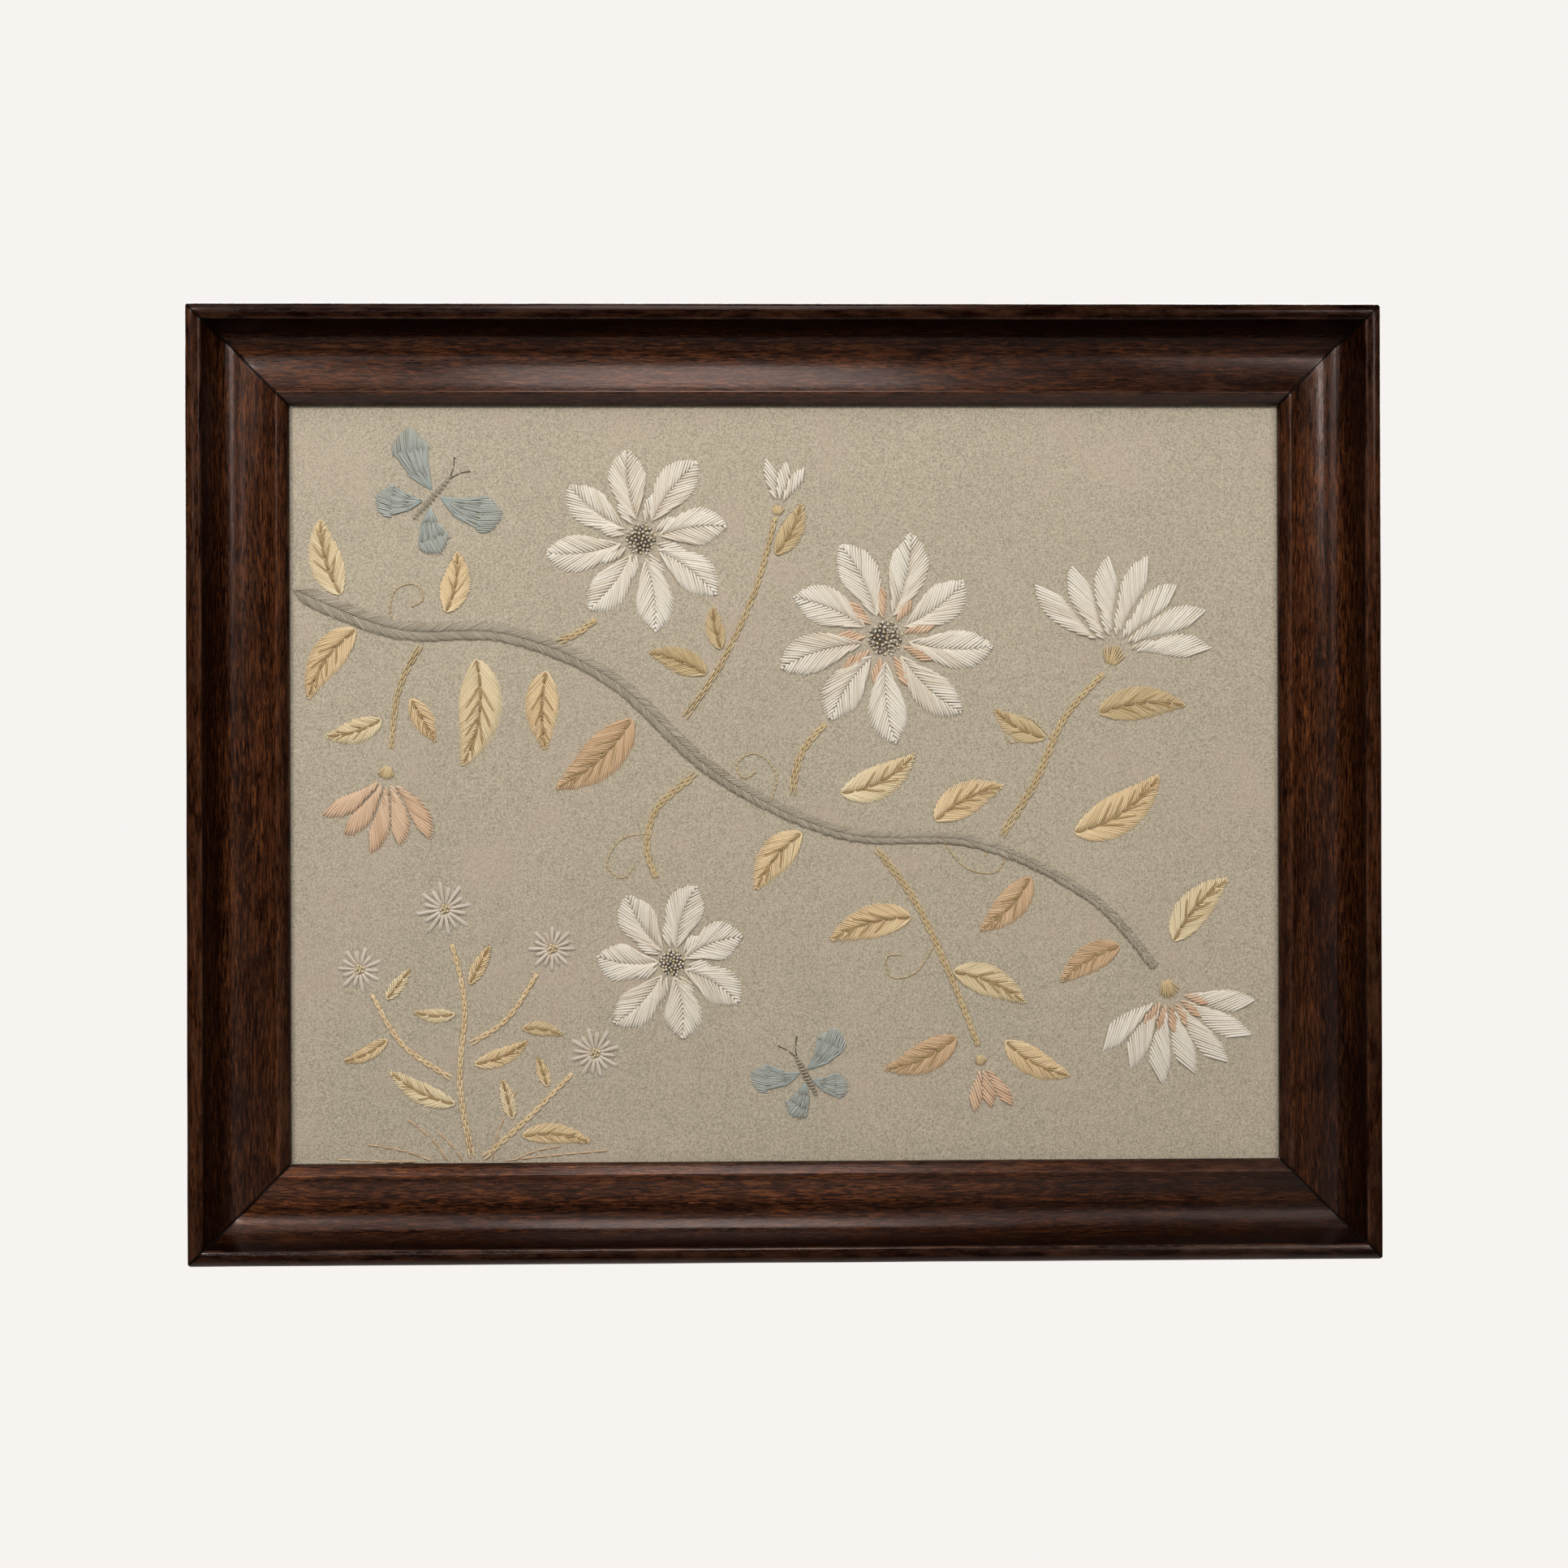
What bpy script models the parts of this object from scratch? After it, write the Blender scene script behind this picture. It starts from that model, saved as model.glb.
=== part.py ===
"""Framed silk embroidery: four mitred lengths of cove moulding, a stretched silk panel, a mount board.

Metres, +Z up. The picture stands upright with its front facing -Y. The origin is on the back face of
the top rail, at the middle of its length, where the frame rests against a wall.
Depths are measured forward from the back plane. Insets are measured inward from the outer edge.
"""

import math
from typing import NamedTuple

import bmesh
import bpy
from mathutils import Vector
from mathutils.geometry import delaunay_2d_cdt

MM = 0.001

# Driving dimensions of the frame
OUTER_W = 471.0 * MM
OUTER_H = 378.0 * MM
RAIL_W = 37.5 * MM
MITRE_GAP = 0.3 * MM
WALL_FACE_INSET = 15.0 * MM

# Bead along the outer edge
BEAD_W = 6.0 * MM
BEAD_TOP_INSET = 3.0 * MM
BEAD_ROUND_DEPTH = 2.4 * MM
BEAD_CROWN = 0.6 * MM

# Cove: a steep fall, a rounded bend at the lowest place, a long rise to the ridge
COVE_LOW_INSET = 19.0 * MM
COVE_LOW_DEPTH = 12.8 * MM
FALL_ANGLE = math.radians(65.0)
FALL_BEND_R = 10.0 * MM
RISE_R = 26.0 * MM
RISE_ANGLE = math.radians(32.0)

# Ridge and lip round the sight opening
RIDGE_R = 0.8 * MM
LIP_ANGLE = math.radians(45.0)

# Rebate that holds the silk and its board
REBATE_W = 6.0 * MM
REBATE_DEPTH = 11.3 * MM

# Silk and board
PIECE_GAP = 0.3 * MM
SILK_THICKNESS = 1.2 * MM
SILK_OVERLAP = 5.0 * MM
BOARD_THICKNESS = 3.0 * MM
BOARD_OVERLAP = 5.4 * MM
BOARD_BEVEL = 0.3 * MM

# Raised stitching
PETAL_RISE = 0.8 * MM
LEAF_RISE = 0.5 * MM
BOUGH_RISE = 0.9 * MM
STEM_RISE = 0.5 * MM
MERGE_EPSILON = 0.12 * MM

CENTRE_Z = WALL_FACE_INSET - OUTER_H / 2
SIGHT_W = OUTER_W - 2 * RAIL_W
SIGHT_H = OUTER_H - 2 * RAIL_W


class Blade(NamedTuple):
    """A petal, leaf or wing, in mm and degrees from the middle of the sight opening."""

    x: float
    z: float
    aim: float
    length: float
    width: float
    bend: float
    full: float


class Ring(NamedTuple):
    """Petals that open round one point."""

    x: float
    z: float
    count: int
    start: float
    sweep: float
    root: float
    length: float
    width: float
    bend: float


class Leaf(NamedTuple):
    """One pointed leaf on its stalk's end."""

    x: float
    z: float
    aim: float
    length: float
    width: float
    bend: float


class Stem(NamedTuple):
    """A bough, twig or stalk that thins along its points."""

    start_w: float
    end_w: float
    rise: float
    points: tuple


class Floret(NamedTuple):
    """A small star of straight rays."""

    x: float
    z: float
    rays: int
    radius: float
    turn: float


class Butterfly(NamedTuple):
    """Four wings and a body, seen from above."""

    x: float
    z: float
    aim: float
    span: float


class Wing(NamedTuple):
    """One blade of a butterfly, as shares of its span, before the butterfly is turned."""

    along: float
    aside: float
    aim: float
    length: float
    width: float
    bend: float


RINGS = (
    Ring(x=-58, z=98, count=8, start=8, sweep=315, root=6, length=31, width=15.5, bend=0.07),
    Ring(x=-58, z=98, count=8, start=30.5, sweep=315, root=5, length=13, width=4.4, bend=0.0),
    Ring(x=40, z=58, count=9, start=-4, sweep=320, root=7, length=35, width=16.0, bend=-0.07),
    Ring(x=40, z=58, count=9, start=16, sweep=320, root=6, length=15, width=4.6, bend=0.0),
    Ring(x=-46, z=-72, count=7, start=20, sweep=308.6, root=5, length=27, width=15.5, bend=0.08),
    Ring(x=-46, z=-72, count=7, start=45.7, sweep=308.6, root=4.5, length=12, width=4.6, bend=0.0),
    Ring(x=132, z=52, count=7, start=2, sweep=136, root=7, length=33, width=9.6, bend=0.06),
    Ring(x=132, z=52, count=6, start=14, sweep=112, root=5, length=14, width=3.6, bend=0.0),
    Ring(x=154, z=-84, count=7, start=222, sweep=132, root=6, length=31, width=9.0, bend=-0.06),
    Ring(x=154, z=-84, count=6, start=233, sweep=110, root=4, length=13, width=3.4, bend=0.0),
    Ring(x=-160, z=4, count=5, start=212, sweep=92, root=4, length=27, width=7.6, bend=0.08),
    Ring(x=-160, z=4, count=4, start=223, sweep=70, root=3, length=11, width=3.0, bend=0.0),
    Ring(x=78, z=-112, count=3, start=262, sweep=44, root=2, length=19, width=5.4, bend=0.0),
    Ring(x=-3, z=110, count=3, start=58, sweep=44, root=2, length=18, width=5.2, bend=0.0),
)

LEAVES = (
    Leaf(x=-178, z=76, aim=104, length=32, width=14, bend=0.08),
    Leaf(x=-172, z=62, aim=236, length=34, width=14, bend=-0.10),
    Leaf(x=-136, z=69, aim=80, length=25, width=12, bend=-0.08),
    Leaf(x=-124, z=50, aim=262, length=44, width=18, bend=0.10),
    Leaf(x=-96, z=45, aim=270, length=32, width=14, bend=-0.06),
    Leaf(x=-62, z=26, aim=222, length=42, width=17, bend=0.08),
    Leaf(x=-26, z=54, aim=100, length=18, width=8, bend=0.06),
    Leaf(x=6, z=-20, aim=232, length=30, width=14, bend=-0.08),
    Leaf(x=22, z=-4, aim=28, length=34, width=14, bend=-0.10),
    Leaf(x=60, z=-15, aim=26, length=31, width=14, bend=0.08),
    Leaf(x=98, z=-38, aim=226, length=30, width=13, bend=0.08),
    Leaf(x=116, z=-20, aim=34, length=42, width=17, bend=-0.10),
    Leaf(x=134, z=-66, aim=212, length=28, width=12, bend=-0.08),
    Leaf(x=156, z=-64, aim=48, length=34, width=14, bend=0.08),
    Leaf(x=104, z=18, aim=150, length=24, width=10, bend=0.08),
    Leaf(x=126, z=28, aim=4, length=36, width=14, bend=0.08),
    Leaf(x=-150, z=34, aim=300, length=20, width=9, bend=0.0),
    Leaf(x=-162, z=26, aim=196, length=24, width=10, bend=0.08),
    Leaf(x=50, z=-54, aim=196, length=34, width=14, bend=-0.08),
    Leaf(x=67, z=-76, aim=336, length=32, width=13, bend=0.08),
    Leaf(x=68, z=-102, aim=204, length=32, width=13, bend=0.08),
    Leaf(x=88, z=-104, aim=332, length=30, width=12, bend=-0.08),
    Leaf(x=-32, z=44, aim=160, length=25, width=11, bend=-0.06),
    Leaf(x=-4, z=92, aim=64, length=24, width=9.5, bend=-0.08),
    Leaf(x=-133, z=-128, aim=152, length=30, width=9, bend=0.08),
    Leaf(x=-125, z=-112, aim=24, length=24, width=7.5, bend=-0.08),
    Leaf(x=-133, z=-92, aim=176, length=17, width=6, bend=0.08),
    Leaf(x=-127, z=-80, aim=62, length=18, width=6, bend=0.0),
    Leaf(x=-160, z=-102, aim=206, length=20, width=6.5, bend=0.08),
    Leaf(x=-160, z=-86, aim=52, length=16, width=5.5, bend=0.0),
    Leaf(x=-106, z=-98, aim=350, length=17, width=6, bend=0.08),
    Leaf(x=-106, z=-141, aim=354, length=28, width=8.5, bend=0.08),
    Leaf(x=-110, z=-134, aim=104, length=17, width=6, bend=0.0),
    Leaf(x=-96, z=-121, aim=108, length=13, width=5, bend=0.0),
)

STEMS = (
    Stem(start_w=8.0, end_w=3.4, rise=BOUGH_RISE, points=(
        (-197, 78), (-156, 62), (-112, 60), (-70, 42), (-28, 4),
        (22, -20), (76, -24), (122, -46), (148, -74))),
    Stem(start_w=3.0, end_w=2.2, rise=STEM_RISE, points=((-92, 57), (-84, 60), (-76, 66))),
    Stem(start_w=3.2, end_w=2.2, rise=STEM_RISE, points=((2, -5), (6, 12), (16, 24))),
    Stem(start_w=3.2, end_w=2.2, rise=STEM_RISE, points=((86, -22), (100, 0), (112, 26), (128, 44))),
    Stem(start_w=2.8, end_w=2.0, rise=STEM_RISE, points=((-146, 56), (-155, 38), (-158, 14))),
    Stem(start_w=3.0, end_w=2.2, rise=STEM_RISE, points=((-36, 4), (-52, -10), (-56, -26), (-52, -38))),
    Stem(start_w=3.0, end_w=2.0, rise=STEM_RISE, points=((36, -26), (52, -48), (66, -78), (77, -106))),
    Stem(start_w=2.8, end_w=1.8, rise=STEM_RISE, points=((-41, 26), (-26, 48), (-12, 78), (-4, 107))),
    Stem(start_w=2.6, end_w=1.6, rise=STEM_RISE, points=(
        (-126, -150), (-131, -120), (-129, -88), (-134, -64))),
    Stem(start_w=2.2, end_w=1.5, rise=STEM_RISE, points=((-127, -104), (-112, -94), (-100, -76))),
    Stem(start_w=2.2, end_w=1.5, rise=STEM_RISE, points=((-134, -118), (-154, -104), (-166, -84))),
    Stem(start_w=2.4, end_w=1.5, rise=STEM_RISE, points=((-122, -150), (-104, -134), (-86, -116))),
)

FLORETS = (
    Floret(x=-137, z=-50, rays=8, radius=12.0, turn=10),
    Floret(x=-94, z=-66, rays=8, radius=10.0, turn=0),
    Floret(x=-171, z=-74, rays=7, radius=10.0, turn=22),
    Floret(x=-77, z=-108, rays=8, radius=11.0, turn=15),
)

BUTTERFLIES = (
    Butterfly(x=-142, z=114, aim=48, span=54),
    Butterfly(x=8, z=-118, aim=118, span=42),
)

WINGS = (
    Wing(along=0.06, aside=0.03, aim=62, length=0.50, width=0.29, bend=0.12),
    Wing(along=0.06, aside=-0.03, aim=-62, length=0.50, width=0.29, bend=-0.12),
    Wing(along=-0.04, aside=0.035, aim=126, length=0.36, width=0.25, bend=0.10),
    Wing(along=-0.04, aside=-0.035, aim=-126, length=0.36, width=0.25, bend=-0.10),
    Wing(along=-0.19, aside=0.0, aim=0, length=0.40, width=0.055, bend=0.0),
)

# Where along its length each kind of blade is widest
PETAL_FULL = 0.64
LEAF_FULL = 0.42
WING_FULL = 0.66

# Fineness and shape of the blades, stems and florets
BLADE_STEPS = 7
BLADE_SHAPE = 0.8
CROWN_START = 0.2
CROWN_END = 0.8
CROWN_STEPS = 3
STEM_SAMPLES = 3
FLORET_NOTCH = 0.34
FLORET_CROWN = 0.7

# How much petal lengths differ within a ring, and how fast the difference goes round
PETAL_VARIATION = 0.07
VARIATION_TURN = 2.4

# Fineness of the moulding's section
BEAD_STEPS = 8
CROWN_ARC_STEPS = 4
BEND_STEPS = 10
RISE_STEPS = 12
RIDGE_STEPS = 6
SHARP_ANGLE = math.radians(20.0)


def arc(centre, radius, start, end, steps):
    """Points on a circle in the section plane, from one angle to the other."""
    angles = [start + (end - start) * i / steps for i in range(steps + 1)]
    return [(centre[0] + radius * math.cos(a), centre[1] + radius * math.sin(a)) for a in angles]


def moulding_section():
    """Outline of the moulding as (inset, depth) points, from the back edge over the front to the rebate."""
    bend_start_inset = COVE_LOW_INSET - FALL_BEND_R * math.sin(FALL_ANGLE)
    bend_start_depth = COVE_LOW_DEPTH + FALL_BEND_R * (1 - math.cos(FALL_ANGLE))
    arris_depth = bend_start_depth + math.tan(FALL_ANGLE) * (bend_start_inset - BEAD_W)
    bead_top = arris_depth + BEAD_CROWN

    section = [(0.0, 0.0)]
    for i in range(BEAD_STEPS + 1):
        a = math.pi - math.pi / 2 * i / BEAD_STEPS
        section.append((
            BEAD_TOP_INSET + BEAD_TOP_INSET * math.cos(a),
            bead_top - BEAD_ROUND_DEPTH + BEAD_ROUND_DEPTH * math.sin(a),
        ))
    crown_run = BEAD_W - BEAD_TOP_INSET
    crown_r = (crown_run ** 2 + BEAD_CROWN ** 2) / (2 * BEAD_CROWN)
    crown_end = math.pi / 2 - math.asin(crown_run / crown_r)
    section += arc((BEAD_TOP_INSET, bead_top - crown_r), crown_r, math.pi / 2, crown_end, CROWN_ARC_STEPS)[1:]

    bend_centre = (COVE_LOW_INSET, COVE_LOW_DEPTH + FALL_BEND_R)
    section += arc(bend_centre, FALL_BEND_R, -math.pi / 2 - FALL_ANGLE, -math.pi / 2, BEND_STEPS)
    rise_centre = (COVE_LOW_INSET, COVE_LOW_DEPTH + RISE_R)
    section += arc(rise_centre, RISE_R, -math.pi / 2, -math.pi / 2 + RISE_ANGLE, RISE_STEPS)[1:]

    rise_end = section[-1]
    ridge_centre = (
        rise_end[0] + RIDGE_R * math.sin(RISE_ANGLE),
        rise_end[1] - RIDGE_R * math.cos(RISE_ANGLE),
    )
    ridge_start = math.pi / 2 + RISE_ANGLE
    section += arc(ridge_centre, RIDGE_R, ridge_start, math.pi / 2 - LIP_ANGLE, RIDGE_STEPS)[1:]
    ridge_end = section[-1]
    lip_depth = ridge_end[1] - math.tan(LIP_ANGLE) * (RAIL_W - ridge_end[0])
    section.append((RAIL_W, lip_depth))
    section.append((RAIL_W, REBATE_DEPTH))
    section.append((RAIL_W - REBATE_W, REBATE_DEPTH))
    section.append((RAIL_W - REBATE_W, 0.0))
    return section


def material(name, colour, roughness):
    """A plain finish: base colour and roughness."""
    finish = bpy.data.materials.new(name)
    finish.use_nodes = True
    shader = finish.node_tree.nodes["Principled BSDF"]
    shader.inputs["Base Color"].default_value = (*colour, 1.0)
    shader.inputs["Roughness"].default_value = roughness
    return finish


def new_object(name, bm, finish):
    """Make the object from its mesh and put it in the scene."""
    mesh = bpy.data.meshes.new(name)
    bm.to_mesh(mesh)
    bm.free()
    mesh.materials.append(finish)
    obj = bpy.data.objects.new(name, mesh)
    bpy.context.scene.collection.objects.link(obj)
    return obj


def make_rail(name, half_run, half_across, turn, section, finish):
    """One mitred length: the section extruded along X, each end drawn in by its inset, then turned."""
    bm = bmesh.new()
    reach = half_run - MITRE_GAP / math.sqrt(2)
    start = [bm.verts.new((-1.0, -depth, half_across - inset)) for inset, depth in section]
    cap = bm.faces.new(start)
    extruded = bmesh.ops.extrude_face_region(bm, geom=[cap])
    for item in extruded["geom"]:
        if isinstance(item, bmesh.types.BMVert):
            item.co.x = 1.0
    for vert in bm.verts:
        inset = half_across - vert.co.z
        vert.co.x *= reach - inset
    bmesh.ops.recalc_face_normals(bm, faces=bm.faces[:])
    rail = new_object(name, bm, finish)
    rail.rotation_euler.y = turn
    rail.location.z = CENTRE_Z
    rail.data.shade_smooth()
    rail.data.set_sharp_from_angle(angle=SHARP_ANGLE)
    return rail


def sample_blade_width(t, full):
    """Share of the full half-width at t along the blade; full is where the blade is widest."""
    power = math.log(0.5) / math.log(full)
    return math.sin(math.pi * t ** power) ** BLADE_SHAPE


def blade_axis(blade, t):
    """Point on the bent middle line and the sideways direction there."""
    aim = math.radians(blade.aim)
    along = Vector((math.cos(aim), math.sin(aim)))
    aside = Vector((-along.y, along.x))
    point = Vector((blade.x, blade.z)) + along * (blade.length * t)
    point += aside * (blade.length * blade.bend * 4 * t * (1 - t))
    slope = along + aside * (blade.bend * 4 * (1 - 2 * t))
    slope.normalize()
    return point, Vector((-slope.y, slope.x))


def blade_shapes(blade):
    """Outline and crown line of a blade, as lists of 2-D points in mm."""
    left = []
    right = []
    for i in range(1, BLADE_STEPS):
        t = i / BLADE_STEPS
        point, aside = blade_axis(blade, t)
        half = blade.width / 2 * sample_blade_width(t, blade.full)
        left.append(point + aside * half)
        right.append(point - aside * half)
    root = blade_axis(blade, 0.0)[0]
    tip = blade_axis(blade, 1.0)[0]
    outline = [root, *right, tip, *reversed(left)]
    crown = []
    for i in range(CROWN_STEPS + 1):
        t = CROWN_START + (CROWN_END - CROWN_START) * i / CROWN_STEPS
        crown.append(blade_axis(blade, t)[0])
    return outline, crown


def ring_blades(ring):
    """The petals of a ring, each a little different from its neighbours."""
    blades = []
    for i in range(ring.count):
        aim = ring.start + ring.sweep * i / (ring.count - 1)
        length = ring.length * (1 + PETAL_VARIATION * math.sin(VARIATION_TURN * i + ring.x))
        direction = math.radians(aim)
        blades.append(Blade(
            ring.x + ring.root * math.cos(direction),
            ring.z + ring.root * math.sin(direction),
            aim, length, ring.width, ring.bend, PETAL_FULL,
        ))
    return blades


def butterfly_blades(butterfly):
    """The wings and body of a butterfly, turned to its aim."""
    aim = math.radians(butterfly.aim)
    along = Vector((math.cos(aim), math.sin(aim)))
    aside = Vector((-along.y, along.x))
    blades = []
    for wing in WINGS:
        root = Vector((butterfly.x, butterfly.z))
        root += (along * wing.along + aside * wing.aside) * butterfly.span
        blades.append(Blade(
            root.x, root.y, butterfly.aim + wing.aim,
            wing.length * butterfly.span, wing.width * butterfly.span, wing.bend, WING_FULL,
        ))
    return blades


def smooth_path(points, samples):
    """Points on a smooth curve through the given ones."""
    ends = [points[0], *points, points[-1]]
    path = []
    for i in range(len(points) - 1):
        a, b, c, d = (Vector(p) for p in ends[i:i + 4])
        for j in range(samples):
            t = j / samples
            path.append(0.5 * (2 * b + (c - a) * t + (2 * a - 5 * b + 4 * c - d) * t * t
                               + (3 * b - a - 3 * c + d) * t ** 3))
    path.append(Vector(points[-1]))
    return path


def stem_shapes(stem):
    """Outline and crown line of a stem."""
    path = smooth_path(stem.points, STEM_SAMPLES)
    last = len(path) - 1
    left = []
    right = []
    for i, point in enumerate(path):
        ahead = path[min(i + 1, last)] - path[max(i - 1, 0)]
        ahead.normalize()
        aside = Vector((-ahead.y, ahead.x))
        half = (stem.start_w + (stem.end_w - stem.start_w) * i / last) / 2
        left.append(point + aside * half)
        right.append(point - aside * half)
    return [*right, *reversed(left)], path[1:-1]


def floret_shapes(floret):
    """Star outline and the ridge lines of its rays."""
    outline = []
    ridges = []
    centre = Vector((floret.x, floret.z))
    for i in range(2 * floret.rays):
        a = math.radians(floret.turn) + math.pi * i / floret.rays
        ray = Vector((math.cos(a), math.sin(a))) * floret.radius
        if i % 2 == 0:
            outline.append(centre + ray)
            ridges.append(centre + ray * FLORET_CROWN)
        else:
            outline.append(centre + ray * FLORET_NOTCH)
    return outline, ridges


class Relief:
    """Flat points and lines of the silk's front, with the height of each point."""

    def __init__(self):
        self.points = []
        self.edges = []
        self.heights = []

    def add_line(self, points, height, closed):
        """Add a run of points, joined in order."""
        first = len(self.points)
        self.points += [Vector(p) * MM for p in points]
        self.heights += [height] * len(points)
        self.edges += [(first + i, first + i + 1) for i in range(len(points) - 1)]
        if closed:
            self.edges.append((first + len(points) - 1, first))

    def add_pad(self, outline, crown, rise):
        """Add a raised pad: its outline on the ground and its crown line above it."""
        self.add_line(outline, 0.0, True)
        self.add_line(crown, rise, False)

    def add_star(self, floret):
        """Add a floret: its outline on the ground, its centre and rays above it."""
        outline, ridges = floret_shapes(floret)
        self.add_line(outline, 0.0, True)
        for ridge in ridges:
            self.add_line([ridge], PETAL_RISE, False)
        self.add_line([Vector((floret.x, floret.z))], PETAL_RISE, False)


def stitched_relief():
    """All the raised stitching of the panel."""
    relief = Relief()
    for stem in STEMS:
        relief.add_pad(*stem_shapes(stem), stem.rise)
    for ring in RINGS:
        for blade in ring_blades(ring):
            relief.add_pad(*blade_shapes(blade), PETAL_RISE)
    for leaf in LEAVES:
        relief.add_pad(*blade_shapes(Blade(*leaf, LEAF_FULL)), LEAF_RISE)
    for butterfly in BUTTERFLIES:
        for blade in butterfly_blades(butterfly):
            relief.add_pad(*blade_shapes(blade), PETAL_RISE)
    for floret in FLORETS:
        relief.add_star(floret)
    return relief


def make_silk(finish):
    """The stretched silk: a thin sheet whose front face rises where it is stitched."""
    half_w = SIGHT_W / 2 + SILK_OVERLAP
    half_h = SIGHT_H / 2 + SILK_OVERLAP
    corners = [(-half_w, -half_h), (half_w, -half_h), (half_w, half_h), (-half_w, half_h)]
    relief = stitched_relief()
    relief.add_line([Vector(c) / MM for c in corners], 0.0, True)

    verts, _, faces, sources, _, _ = delaunay_2d_cdt(
        relief.points, relief.edges, [], 0, MERGE_EPSILON, True)
    face_depth = REBATE_DEPTH - PIECE_GAP
    bm = bmesh.new()
    front = []
    for point, source in zip(verts, sources):
        height = max((relief.heights[i] for i in source), default=0.0)
        front.append(bm.verts.new((point.x, -face_depth - height, point.y)))
    for face in faces:
        bm.faces.new([front[i] for i in face])
    back_depth = face_depth - SILK_THICKNESS
    back = [bm.verts.new((x, -back_depth, z)) for x, z in corners]
    bm.faces.new(back)
    rim = [min(front, key=lambda v: (v.co.x - x) ** 2 + (v.co.z - z) ** 2) for x, z in corners]
    for i in range(4):
        j = (i + 1) % 4
        bm.faces.new([rim[i], rim[j], back[j], back[i]])
    bmesh.ops.triangulate(bm, faces=bm.faces[:])
    bmesh.ops.recalc_face_normals(bm, faces=bm.faces[:])
    silk = new_object("silk_panel", bm, finish)
    silk.location.z = CENTRE_Z
    return silk


def make_board(finish):
    """The plain board behind the silk."""
    front_depth = REBATE_DEPTH - PIECE_GAP - SILK_THICKNESS - PIECE_GAP
    size = (SIGHT_W + 2 * BOARD_OVERLAP, BOARD_THICKNESS, SIGHT_H + 2 * BOARD_OVERLAP)
    bm = bmesh.new()
    bmesh.ops.create_cube(bm, size=1.0)
    bmesh.ops.scale(bm, vec=size, verts=bm.verts[:])
    bmesh.ops.bevel(bm, geom=bm.edges[:], offset=BOARD_BEVEL, segments=1, affect="EDGES")
    board = new_object("mount_board", bm, finish)
    board.location = (0.0, -(front_depth - BOARD_THICKNESS / 2), CENTRE_Z)
    return board


def main():
    """Build the framed embroidery."""
    for obj in list(bpy.data.objects):
        bpy.data.objects.remove(obj)

    wood = material("dark_varnished_wood", (0.045, 0.014, 0.007), 0.3)
    silk = material("taupe_silk", (0.45, 0.38, 0.29), 0.75)
    card = material("grey_board", (0.38, 0.33, 0.26), 0.9)

    section = moulding_section()
    half_w = OUTER_W / 2
    half_h = OUTER_H / 2
    make_rail("rail_top", half_w, half_h, 0.0, section, wood)
    make_rail("rail_bottom", half_w, half_h, math.pi, section, wood)
    make_rail("rail_left", half_h, half_w, -math.pi / 2, section, wood)
    make_rail("rail_right", half_h, half_w, math.pi / 2, section, wood)
    make_silk(silk)
    make_board(card)


main()
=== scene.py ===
"""Looks of a framed silk embroidery: varnished cove moulding, taupe silk ground, hand stitching, back board.

Everything is in metres, in the part's own frame: the picture faces -Y, stands along Z, and its back
plane is y = 0. Tables of the stitched design are in millimetres from the middle of the sight opening.
"""

import logging
import math
import random
from dataclasses import dataclass, field
from enum import Enum

import bpy
import numpy as np
from mathutils import Matrix, Vector, noise


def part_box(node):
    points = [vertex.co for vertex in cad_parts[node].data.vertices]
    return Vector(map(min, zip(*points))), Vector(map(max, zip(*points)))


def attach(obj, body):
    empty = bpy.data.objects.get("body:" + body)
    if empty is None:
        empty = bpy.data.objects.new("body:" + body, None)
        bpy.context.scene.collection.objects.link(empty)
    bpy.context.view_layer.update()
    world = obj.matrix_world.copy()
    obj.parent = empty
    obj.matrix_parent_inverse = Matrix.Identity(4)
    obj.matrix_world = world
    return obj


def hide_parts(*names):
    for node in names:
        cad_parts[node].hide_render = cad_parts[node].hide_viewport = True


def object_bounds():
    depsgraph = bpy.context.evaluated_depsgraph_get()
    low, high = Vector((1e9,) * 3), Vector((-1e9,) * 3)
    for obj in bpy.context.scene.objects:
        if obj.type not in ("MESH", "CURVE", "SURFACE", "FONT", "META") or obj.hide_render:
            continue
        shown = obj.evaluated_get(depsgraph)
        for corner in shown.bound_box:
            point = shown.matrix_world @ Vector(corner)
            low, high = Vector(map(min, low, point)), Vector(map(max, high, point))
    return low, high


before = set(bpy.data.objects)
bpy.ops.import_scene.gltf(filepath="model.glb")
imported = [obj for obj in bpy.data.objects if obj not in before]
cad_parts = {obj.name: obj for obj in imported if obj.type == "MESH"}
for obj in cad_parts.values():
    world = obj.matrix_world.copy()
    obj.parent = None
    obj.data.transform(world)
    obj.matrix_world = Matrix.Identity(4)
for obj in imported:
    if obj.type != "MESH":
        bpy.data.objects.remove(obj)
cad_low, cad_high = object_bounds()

log = logging.getLogger("framed_silk")

MM = 0.001
BODY = "root"

OUTER_W = cad_high.x - cad_low.x
OUTER_H = cad_high.z - cad_low.z
CENTRE_Z = (cad_low.z + cad_high.z) / 2
RAIL_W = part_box("rail_top")[1].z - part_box("rail_top")[0].z
SIGHT_W = OUTER_W - 2 * RAIL_W
SIGHT_H = OUTER_H - 2 * RAIL_W
SILK_BACK_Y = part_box("silk_panel")[1].y
SILK_THICKNESS = 1.2 * MM
SILK_FACE_Y = SILK_BACK_Y - SILK_THICKNESS

FLOOR_DROP = 1.45
GOLDEN_ANGLE = 2.39996
PETAL_FULL = 0.64
WING_FULL = 0.66


class Grain(Enum):
    """Which way a board's grain runs."""

    ACROSS = "along X"
    UPRIGHT = "along Z"


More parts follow.
